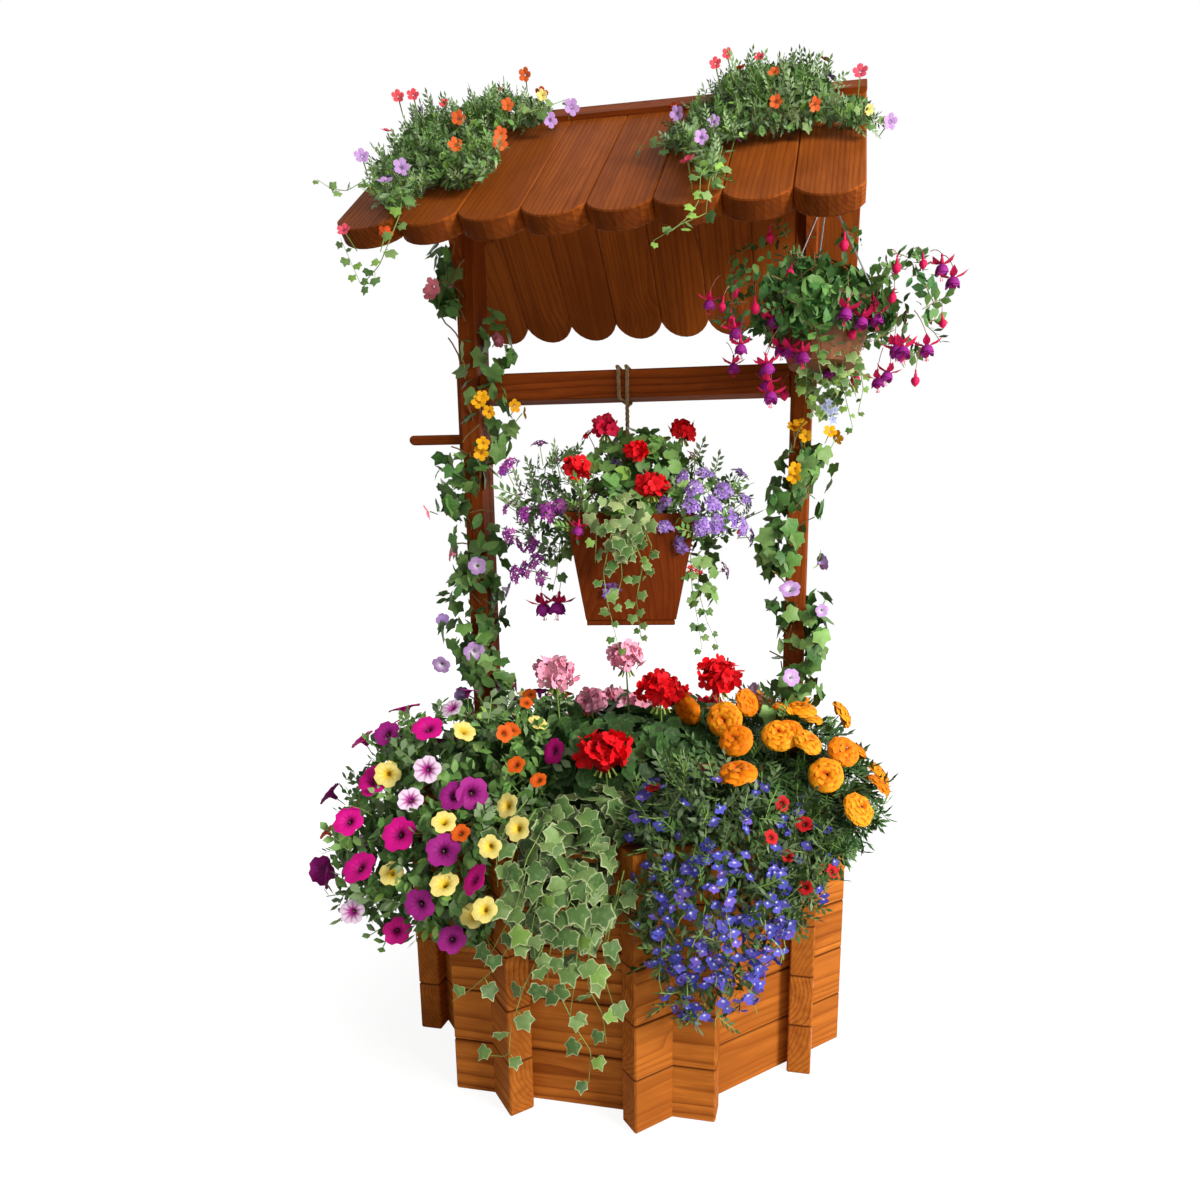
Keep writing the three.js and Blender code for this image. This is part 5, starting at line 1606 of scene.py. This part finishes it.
def climber(node, seed, name, clumps, spots):
    """Leaves fill the clumps that the photograph shows, and are sparse in between and behind."""
    growth = Growth(node, seed)
    leafage, bloom = Bunch(), Bunch()
    side = -1 if growth.low[0] < 0 else 1
    hues = leaf_greens + deep_greens[:1] + ivy_greens[:2]

    def shown(p, n):
        share = np.where(n[:, 1] < 0.2, 0.08, 0.3)
        grown = within(p, clumps) & (n[:, 1] < 0.3) | (growth.rng.random(len(p)) < share)
        return grown & crank_free(p)

    # The counts are leaves and flowers for each square metre of the solid.
    area = growth.areas.sum()
    leaves(leafage, growth, ivy_leaf, int(climber_leaves * area), 0.021, hues, lift=0.2,
           jitter=0.5, inner_age_and_shade=0.4, keep=shown)
    leaves(leafage, growth, oval_leaf, int(climber_small_leaves * area), 0.018, hues,
           depth=0.015, lift=0.4, jitter=0.6, keep=shown)
    z = growth.low[2] + 0.03
    while z < growth.high[2] - 0.03:
        near = growth.tree.find_nearest(Vector((side * inner_face, stem_line_y, z)))[0]
        line = trail(np.array(near), 0.05, growth.rng, way=(growth.rng.normal(0, 0.5), -0.2, 0.9),
                     wander=0.6, step=0.012, sink=0.1)
        leafage.tube(line, 0.0014, stem_brown, 4)
        z += stem_step
    for mould, hue, eye, reach, size, places in spots:
        found, ways = growth.seen(places, 0.012)
        flowers(bloom, growth, mould, found, ways, size, tones(growth.rng, len(found), [hue], 0.1),
                eye, reach, stem=0.02)
    places, ways = hidden(growth, int(area * climber_flowers), 0.09, proud=0.008)
    free = swing_free(places)
    print(name, "flowers left out beside the winch and the pot:", int((~free).sum()))
    places, ways = places[free], ways[free]
    few = paints("f6b414 c09be0 ee8a9c")
    flowers(bloom, growth, petunia_flower, places, ways, 0.016,
            mixed(growth.rng, len(places), few), None, stem=0.02)
    leafage.make(name + "_leaves", "well", "leaf", dark_ivy, 60, (node,))
    bloom.make(name + "_flowers", "well", "leaf", petals)


print("leaves on a square metre:", climber_leaves + climber_small_leaves)

# %% The two climbers
yellow, lilac, pink, violet = paints("efaf15 c89fda f28a99 9a55c4")
ochre, pale, rosy = paints("b8600a efe6f6 c83a5a")
left_clumps = [
    (448, 250, 14, 28), (450, 300, 14, 30), (507, 375, 14, 32), (508, 445, 14, 22), (468, 470, 20, 18),
    (452, 520, 20, 34), (480, 560, 22, 22), (462, 580, 28, 18), (500, 610, 20, 30), (470, 650, 24, 26),
    (495, 680, 24, 22)]
left_yellow = [(480, 404), (490, 412), (484, 399), (511, 408), (518, 414), (484, 441), (482, 451)]
left_pink, left_violet = [(438, 288), (433, 509), (435, 294)], [(512, 459), (509, 466), (500, 472)]
left_lilac = [(478, 565), (503, 587), (475, 649), (445, 662)]
climber("post_ivy_left", 21, "left_climber", left_clumps, [
    (geranium_floret, yellow, ochre, 0.2, 0.013, left_yellow),
    (geranium_floret, pink, rosy, 0.2, 0.016, left_pink),
    (geranium_floret, violet, plum, 0.2, 0.009, left_violet),
    (petunia_flower, lilac, pale, 0.3, 0.019, left_lilac)])
right_clumps = [
    (815, 455, 16, 28), (780, 505, 22, 30), (775, 550, 26, 30), (800, 480, 20, 16), (760, 610, 16, 16),
    (805, 630, 26, 26), (820, 650, 22, 18), (800, 690, 26, 20)]
right_yellow = [(795, 434), (804, 440), (799, 430), (825, 436), (832, 441), (797, 470), (796, 478)]
right_pink, right_lilac, right_small = [(747, 532)], [(792, 591), (790, 677)], [(820, 611), (759, 689)]
climber("post_ivy_right", 22, "right_climber", right_clumps, [
    (geranium_floret, yellow, ochre, 0.2, 0.013, right_yellow),
    (geranium_floret, pink, rosy, 0.2, 0.012, right_pink),
    (petunia_flower, lilac, pale, 0.3, 0.019, right_lilac),
    (petunia_flower, lilac, pale, 0.3, 0.013, right_small)])

# %% [markdown]
# ## Roof planting
# Two cushions of fine grey-green foliage sit astride the ridge, with orange, lilac and pink
# flowers, and thin ivy trails that run down the boards. Single leaves hardly show on them, so
# most of each cushion is sprigs, which give it its feathery outline.

# %% A roof cushion
hidden_on_cushion = 7


def roof_plant(node, seed, name, ovals, spots, trails):
    """A cushion inside its ovals, with its flowers and with an ivy trail on each line of places."""
    growth = Growth(node, seed)
    leafage, bloom = Bunch(), Bunch()
    keep = inside(ovals)
    for hue, eye, size, places in spots:
        growth.clear(places, size * roof_scale)
        found, ways = growth.seen(places, 0.014)
        flowers(bloom, growth, geranium_floret, found, ways, size,
                tones(growth.rng, len(found), [hue], 0.1), eye, 0.22, facing=1.4)
    places, ways = hidden(growth, hidden_on_cushion, 0.05, proud=0.004, low=0.2)
    few = paints("f4622a b294dc e85a70")
    flowers(bloom, growth, geranium_floret, places, ways, 0.011,
            mixed(growth.rng, len(places), few), plum, 0.2)
    leaves(leafage, growth, slim_leaf, 4200, 0.010, grey_greens + leaf_greens[:1], depth=0.03,
           lift=0.6, jitter=0.9, out_tip=0.9, proud=0.002, keep=keep, inner_age_and_shade=0.5)
    leaves(leafage, growth, oval_leaf, 700, 0.009, leaf_greens + fresh_greens, depth=0.012,
           lift=0.8, jitter=0.7, proud=0.004, keep=keep)
    leaves(leafage, growth, ivy_leaf, 150, 0.012, ivy_greens + fresh_greens[:1], depth=0.006,
           lift=0.6, jitter=0.5, proud=0.003, keep=keep)
    sprigs(leafage, growth, fine_sprig, 1100, 0.022, grey_greens + leaf_greens[:2], stem_green,
           keep=keep, lift=0.4)
    hang(leafage, growth, trails, 0.0125, ivy_greens + fresh_greens[:1], step=0.011, radius=0.0008)
    leafage.make(name + "_leaves", "well", "leaf", green_leaf, replaces=(node,))
    bloom.make(name + "_flowers", "well", "leaf", petals)


print("roof sprigs:", len(fine_sprig.faces), "triangles each")

# %% The two cushions
orange, coral = paints("df662f ea5560")
maroon, dusk = paints("7c1c14 5a2c80")
left_cushion = [(450, 150, 50, 38), (505, 112, 46, 16), (410, 172, 36, 20), (395, 195, 18, 14)]
left_large, left_small = [(460, 155), (461, 127), (499, 152), (527, 82)], [(507, 115), (497, 139)]
left_coral, left_lemon = [(417, 105), (447, 113), (400, 101)], [(544, 102)]
left_lilac = [(367, 166), (402, 176), (388, 191), (551, 121), (568, 111)]
left_trails = [
    [(372, 180), (350, 194), (335, 190), (322, 181)],
    [(402, 195), (398, 215), (388, 240), (378, 262), (362, 282), (340, 284)],
    [(520, 118), (545, 108), (568, 100)]]
roof_plant("roof_plants_left", 31, "left_roof", left_cushion, [
    (orange, maroon, 0.012, left_large), (orange, ochre, 0.010, left_small),
    (coral, maroon, 0.009, left_coral), (lilac, dusk, 0.0118, left_lilac),
    (lemon, honey, 0.008, left_lemon)], left_trails)
right_cushion = [
    (775, 98, 60, 34), (722, 122, 34, 18), (690, 138, 26, 14), (845, 112, 28, 14), (708, 160, 14, 16)]
right_coral, right_lemon = [(731, 62), (713, 58), (760, 68)], [(864, 112)]
right_orange = [(774, 83), (775, 111), (812, 108), (822, 70)]
right_lilac = [(680, 122), (715, 133), (703, 148), (881, 125)]
right_trails = [
    [(712, 165), (708, 190), (704, 210), (680, 228), (656, 241)],
    [(716, 160), (700, 178), (698, 200), (690, 218), (672, 234)], [(722, 150), (716, 170), (712, 188)],
    [(700, 130), (668, 146), (638, 143)], [(850, 112), (870, 124), (886, 122)]]
roof_plant("roof_plants_right", 32, "right_roof", right_cushion, [
    (coral, maroon, 0.009, right_coral), (orange, maroon, 0.011, right_orange),
    (lilac, dusk, 0.0108, right_lilac), (lemon, honey, 0.008, right_lemon)], right_trails)

# %% [markdown]
# ## The hanging pot's planting
# Red geraniums stand up in the middle, verbena leans out on the right, variegated ivy runs down
# the front, and small purple flowers with fuchsias fill the left. One solid holds all of them, so
# each kind of leaf gets its own part of it, by ovals in the photograph.

# %% The pot's leaves
pot = Growth("pot_plants", 41)
leafage, bright, bloom = Bunch(), Bunch(), Bunch()
head_spots = (
    ((580, 472), scarlet, 0.026), ((637, 453), scarlet, 0.018), ((651, 484), scarlet, 0.028),
    ((680, 435), scarlet, 0.025), ((606, 432), crimson, 0.025))
for spot, hue, reach in head_spots:
    pot.clear([spot], reach * pot_scale)
fine_part, green_part, trail_part = [(548, 500, 42, 62)], [(637, 470, 46, 52)], [(703, 570, 18, 42)]
verbena_leaf_part, verbena_sprig_part = [(700, 500, 45, 40)], [(705, 500, 45, 40)]
bright_part = [(620, 515, 32, 22), (624, 542, 17, 16)]
leaves_behind, sprigs_behind, lowest_round_leaf = 0.02, 0.05, 0.98
leaves(leafage, pot, oval_leaf, 1500, 0.0115, leaf_greens + grey_greens, depth=0.05, lift=0.45,
       jitter=0.6,
       keep=lambda p, n: within(p, fine_part + verbena_leaf_part) | (p[:, 1] > leaves_behind))
leaves(leafage, pot, slim_leaf, 1400, 0.010, grey_greens + leaf_greens[:1], depth=0.03, lift=0.5,
       jitter=0.9, keep=inside(fine_part))
sprigs(leafage, pot, fine_sprig, 520, 0.038, grey_greens + leaf_greens, stem_green,
       keep=lambda p, n: within(p, fine_part + verbena_sprig_part) | (p[:, 1] > sprigs_behind))
leaves(leafage, pot, ivy_leaf, 330, 0.015, leaf_greens + ivy_greens, depth=0.03, lift=0.3,
       jitter=0.45, keep=inside(trail_part))
leaves(leafage, pot, round_leaf, 1300, 0.0145, leaf_greens + fresh_greens[:1], depth=0.035, lift=0.6,
       jitter=0.5, inner_age_and_shade=0.5, front=0.7,
       keep=lambda p, n: within(p, green_part) & (p[:, 2] > lowest_round_leaf))
leaves(bright, pot, ivy_leaf, 2600, 0.0155, shaded(ivy_greens[:3:2] + [paint("a9bd7a")], 0.8),
       depth=0.02, lift=0.35, jitter=0.4, inner_age_and_shade=0.45, proud=0.012,
       keep=lambda p, n: within(p, bright_part) & (n[:, 1] < 0.2))
print("pot leaves:", leafage.count, "points, and", bright.count, "of ivy")

# %% The pot's trails
bright_strands = [
    [(612, 530), (606, 570), (610, 600), (619, 645)], [(630, 530), (640, 560), (632, 600), (641, 640)],
    [(620, 540), (622, 580), (614, 605)], [(600, 520), (598, 560)], [(640, 520), (648, 545), (645, 575)]]
green_strands = [
    [(698, 550), (700, 590), (706, 620), (718, 645)], [(690, 550), (694, 590), (700, 625), (704, 648)],
    [(560, 540), (556, 575), (552, 590)]]
hang(bright, pot, bright_strands, 0.0155, ivy_greens + fresh_greens[:1], [0.1, -1.0, 0.1], proud=0.01)
hang(leafage, pot, green_strands, 0.0155, ivy_greens, [0.3, -0.9, 0.1])
print("pot trails:", len(bright_strands) + len(green_strands))

# %% [markdown]
# ## The pot's flowers
# The geranium heads are made as on the crib. Verbena and the purple flowers stand in flat heads,
# each a spiral of small stars on a shallow dome. The fuchsias hang on bowed threads.

# %% Heads and clusters
cluster_twist, cluster_radius, cluster_rise, cluster_fan = [0.2, 0.3, 0.9], 0.016, 0.006, 40
for spot, hue, reach in head_spots:
    (place,), (way,) = pot.seen([spot], 0.008)
    face = unit(way + up * 0.6 + 0.5 * to_camera(place))
    flower_head(bloom, place, face, reach, hue, pot.rng, 18, 0.0115)
    stalk(leafage, place - way * 0.05 - up * 0.03, place - face * reach * 0.5, 0.0016, stem_green)
verbena = paints("9b77c6 8c66bb ac8ed1")
verbena_spots = [
    (683, 482), (703, 478), (735, 478), (740, 502), (722, 492), (668, 505), (690, 507), (712, 505),
    (728, 516), (745, 535), (683, 540), (665, 522), (700, 524), (716, 522), (738, 525), (692, 490)]
places, ways = pot.seen(verbena_spots, 0.014)
mauves = paints("b03fae 9a349e c963bc")
mauve_spots = [
    (541, 451), (512, 465), (507, 472), (515, 508), (528, 512), (548, 510), (560, 507), (513, 533),
    (525, 540), (536, 545), (530, 568), (545, 575), (520, 572), (540, 560)]
mauve_places, mauve_ways = pot.seen(mauve_spots, 0.014)
back_places, back_ways = hidden(pot, 22, 0.055, proud=0.006, low=-0.2)
clusters = ([(p, w, verbena, 16, 0.0078) for p, w in zip(places, ways)]
            + [(p, w, mauves, 11, 0.0084) for p, w in zip(mauve_places, mauve_ways)]
            + [(p, w, (verbena, mauves, [scarlet])[k % 3], 11, 0.0072)
               for k, (p, w) in enumerate(zip(back_places, back_ways))])
for place, way, colours, florets, size in clusters:
    k = np.arange(florets)
    ring, angle = cluster_radius * np.sqrt((k + 0.5) / florets), k * golden_angle
    spin = faced(np.array([unit(way + up * 0.4)]), np.array([cluster_twist]), pot.rng, 0.1, 1.0,
                 0.0)[0]
    local = np.stack([ring * np.cos(angle), ring * np.sin(angle), cluster_rise - ring * 0.5], axis=1)
    ways_out = np.tile(spin[:, 2], (florets, 1)) + local @ spin.T * cluster_fan
    turns = faced(ways_out, pot.rng.normal(0, 1, (florets, 3)), pot.rng, 0.2, size, 0.12)
    star_floret.copy_to(bloom, turns, place + local @ spin.T, tones(pot.rng, florets, colours),
                        paint("e6d8f6"), 0.1)
    stalk(leafage, place - way * 0.03 - up * 0.01, place, 0.0011, stem_green)
print("clusters on the pot:", len(clusters))

# %% Hanging flowers, and the pot's pieces
fuchsia_pink, fuchsia_purple, thread_brown = paints("db1e5c 972689 8a4a3a")
pot_fuchsias = (((545, 590), 0.034), ((583, 520), 0.024), ((559, 588), 0.034))


def hanging_flower(bunch, leafage, mould, place, size, rng, drop=0.02, growth=None):
    """A flower that hangs on a bowed thread below a point of the growth."""
    turns = faced(np.array([up]) + rng.normal(0, 0.12, (1, 3)), rng.normal(0, 1, (1, 3)), rng, 0.0,
                  size, 0.1)
    mould.copy_to(bunch, turns, np.array([place]), fuchsia_pink, fuchsia_purple, 0.5)
    start = place + up * drop + rng.normal(0, 0.006, 3)
    if growth is not None:
        start = growth.tree.find_nearest(Vector(start))[0]
    stalk(leafage, start, place, 0.0008, thread_brown, sag=0.004)


for pixels, size in pot_fuchsias:
    (place,), _ = pot.seen([pixels], 0.012)
    hanging_flower(bloom, leafage, fuchsia_flower, place, size, pot.rng)
leafage.make("pot_leaves", "pot", "leaf", green_leaf, replaces=("pot_plants",))
bright.make("pot_ivy", "pot", "variegated_ivy", cream_ivy, 60)
bloom.make("pot_flowers", "pot", "geranium", petals)

# %% [markdown]
# ## The hanging basket
# A fuchsia arches out of the basket on thin stems, with flowers that hang below its leaves, and a
# variegated ivy falls behind it. The crown is thick, while one can see through the wings to
# either side, so these get fewer and smaller leaves.

# %% The basket's leaves
post_low, post_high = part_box("post_right")
swing_gap, sprig_gap, ivy_gap = 0.045, 0.06, 0.03


def post_free(p, gap=swing_gap):
    """Which places leave room for the basket to swing before the right post."""
    return (p[:, 1] < post_low.y - gap) | (p[:, 0] > post_high.x + gap)


basket = Growth("basket_plants", 51)
leafage, bright, bloom = Bunch(), Bunch(), Bunch()
fuchsia_greens = deep_greens + leaf_greens[:3] + [paint("4c8a45")]
crown = [(816, 292, 54, 32), (790, 318, 36, 26), (862, 308, 34, 32)]
wings = [(752, 292, 28, 50), (904, 298, 36, 54), (812, 246, 56, 14)]
front_part, ivy_part = [(846, 304, 30, 24)], [(815, 370, 18, 22), (845, 365, 22, 28), (825, 395, 16, 20)]
crown_foot, sprig_foot, wing_leaf_share, wing_sprig_share = 1.25, 1.24, 0.3, 0.38


def wing_sprig(p):
    """Which places the wings' sprigs keep, a share of all."""
    return within(p, wings) & (basket.rng.random(len(p)) < wing_sprig_share)


leaves(leafage, basket, fuchsia_leaf, 3400, 0.0135, fuchsia_greens, depth=0.05, lift=0.6, jitter=0.5,
       out_tip=0.5, inner_age_and_shade=0.5, front=0.3,
       keep=lambda p, n: within(p, crown) & (p[:, 2] > crown_foot))
leaves(leafage, basket, fuchsia_leaf, 1500, 0.0095, fuchsia_greens + leaf_greens, depth=0.03,
       lift=0.6, jitter=0.6, out_tip=0.6, keep=lambda p, n: within(p, wings) & post_free(p)
       & (basket.rng.random(len(p)) < wing_leaf_share))
sprigs(leafage, basket, leafy_sprig, 480, 0.034, leaf_greens + fuchsia_greens, stem_brown,
       keep=lambda p, n: (within(p, crown) | wing_sprig(p)) & (p[:, 2] > sprig_foot)
       & post_free(p, sprig_gap), lift=0.5)
over_rim = Growth("basket_pot", 52)
leaves(leafage, over_rim, fuchsia_leaf, 2400, 0.0135, fuchsia_greens, depth=0.0, lift=0.6,
       jitter=0.5, out_tip=0.5, proud=0.014,
       keep=lambda p, n: within(p, front_part) & (n[:, 1] < 0.3))
leaves(bright, basket, ivy_leaf, 900, 0.0125, ivy_greens + fresh_greens + [paint("a9c070")],
       depth=0.04, lift=0.3, jitter=0.5, inner_age_and_shade=0.3,
       keep=lambda p, n: within(p, ivy_part) & post_free(p, ivy_gap))
basket_strands = [
    [(806, 352), (808, 380), (806, 400), (818, 415)], [(830, 350), (838, 375), (845, 400), (850, 425)],
    [(850, 345), (858, 370), (860, 390), (855, 412)], [(818, 355), (822, 385), (815, 405)],
    [(842, 350), (840, 380), (830, 398)]]
hang(bright, basket, basket_strands, 0.0125, ivy_greens + fresh_greens, [0.2, -1.0, 0.2], 0.01)
print("basket leaves:", leafage.count, "points, and", bright.count, "of ivy")

# %% [markdown]
# ## The basket's flowers
# Open flowers and buds hang all round the crown and the wings. Those in view have their places in
# the photograph, and behind they are spread over the solid. None comes near the post, because the
# basket swings.

# %% The basket's flowers
highest_hidden_flower = 1.4
flower_spots = [
    (842, 308), (862, 313), (748, 352), (760, 365), (798, 347), (808, 350), (767, 388), (782, 386),
    (906, 350), (890, 372), (900, 348), (918, 348), (790, 345), (895, 368), (740, 322), (855, 318)]
bud_spots = [
    (795, 271), (918, 267), (728, 305), (735, 318), (752, 306), (765, 312), (848, 330), (897, 297),
    (880, 300), (842, 247), (772, 240), (900, 268), (935, 318), (912, 375)]
places, ways = first_seen([basket, over_rim], flower_spots, 0.024)
for place in places[post_free(places)]:
    hanging_flower(bloom, leafage, fuchsia_flower, place + up * 0.016, 0.0245, basket.rng, 0.03,
                   basket)
places, ways = basket.seen(bud_spots, 0.012)
for place in places:
    hanging_flower(bloom, leafage, fuchsia_bud, place + up * 0.012, 0.019, basket.rng, 0.02, basket)
places, ways = hidden(basket, 30, 0.055, proud=0.012, low=-0.1)
places = places[(places[:, 2] < highest_hidden_flower) & post_free(places)]
for k, place in enumerate(places):
    mould = fuchsia_bud if k % 3 == 0 else fuchsia_flower
    hanging_flower(bloom, leafage, mould, place, 0.0235, basket.rng, 0.02, basket)
blue_spots = [(828, 412), (823, 407), (832, 418), (828, 402), (834, 410)]
places, ways = basket.seen(blue_spots, 0.006)
flowers(bloom, basket, star_floret, places, ways, 0.010, paint("c3cdee"), paint("8f9fd8"), 0.25)
leafage.make("basket_leaves", "basket", "fuchsia", green_leaf, replaces=("basket_plants",))
bright.make("basket_ivy", "basket", "variegated_ivy", cream_ivy, 60)
bloom.make("basket_flowers", "basket", "fuchsia", petals)

# %% [markdown]
# ## Studio
# The picture has a white ground, so the floor and the world are white to the camera, while the
# light that falls on the well stays at a plain level. One large soft lamp stands at the front
# right, where the timber is brightest in the photograph. A weak one fills from the front, and
# another one lights the back.

# %% Floor
floor_size, floor_glow, glow_near, glow_far = 24, 1.14, 0.5, 1.3
choose_none()
bpy.ops.mesh.primitive_plane_add(size=floor_size)
floor = bpy.context.object
floor.name = "studio_floor"
floor_finish = Finish("studio_floor")
sees = floor_finish.node("ShaderNodeLightPath", output="Is Camera Ray")
floor_finish.set(base_color=(0.86, 0.86, 0.86), roughness=0.9)
glow = floor_finish.node("ShaderNodeEmission", {}, {"Color": (1, 1, 1), "Strength": floor_glow})
far_x, far_y, _ = floor_finish.split(floor_finish.place())
far = (far_x * far_x + far_y * far_y).root().between(glow_near, glow_far)
blend = floor_finish.node("ShaderNodeMixShader", {}, {0: sees * (far * 0.2 + 0.8), 2: glow})
floor_finish.tree.links.new(floor_finish.shader.outputs[0], blend.socket.node.inputs[1])
output = floor_finish.tree.nodes["Material Output"]
floor_finish.tree.links.new(blend.socket, output.inputs["Surface"])
floor.data.materials.append(floor_finish.material)
print("floor:", floor_size, "m wide")

# %% World
ambient_colour, ambient_strength = (1, 0.95, 0.9, 1), 0.19
world = bpy.context.scene.world or bpy.data.worlds.new("studio")
bpy.context.scene.world = world
world.use_nodes = True
tree = world.node_tree
tree.nodes.clear()
path = tree.nodes.new("ShaderNodeLightPath")


def joined(kind, *sockets):
    """A node of the world, with these sockets linked to its inputs in order."""
    made = tree.nodes.new(kind)
    for socket, source in zip(made.inputs, sockets):
        tree.links.new(source, socket)
    return made


# The world is white to rays from the camera, in reflections and through glass.
seen_white = joined("ShaderNodeMath", path.outputs["Is Camera Ray"], path.outputs["Is Glossy Ray"])
also_glass = joined("ShaderNodeMath", seen_white.outputs[0], path.outputs["Is Transmission Ray"])
seen_white.operation = also_glass.operation = "MAXIMUM"
ambient, white = joined("ShaderNodeBackground"), joined("ShaderNodeBackground")
ambient.inputs["Strength"].default_value = ambient_strength
ambient.inputs["Color"].default_value = ambient_colour
white.inputs["Color"].default_value = (1, 1, 1, 1)
choice = joined("ShaderNodeMixShader", also_glass.outputs[0], ambient.outputs[0], white.outputs[0])
joined("ShaderNodeOutputWorld", choice.outputs[0])
print("world nodes:", len(tree.nodes))


# %% Lamps
key_lamp, near_fill, far_fill = (3.3, -1.9, 2.3), (1.2, -3.3, 2.3), (0.5, 3.2, 2.8)


def lamp(place, aim, size, power, tint=(1, 1, 1)):
    """A round area lamp, turned to its aim."""
    bpy.ops.object.light_add(type="AREA", location=place)
    light = bpy.context.object
    light.rotation_euler = (Vector(aim) - Vector(place)).to_track_quat("-Z", "Y").to_euler()
    light.data.shape, light.data.size = "DISK", size
    light.data.energy, light.data.color = power, tint


lamp(key_lamp, (0, 0, 0.8), 1.5, 200, (1.0, 0.97, 0.93))
lamp(near_fill, (0, 0, 0.9), 2.2, 13)
lamp(far_fill, (0, 0, 0.9), 2.2, 40)
bpy.context.scene.view_settings.view_transform = "Standard"
print("lamps:", len(bpy.data.lights))
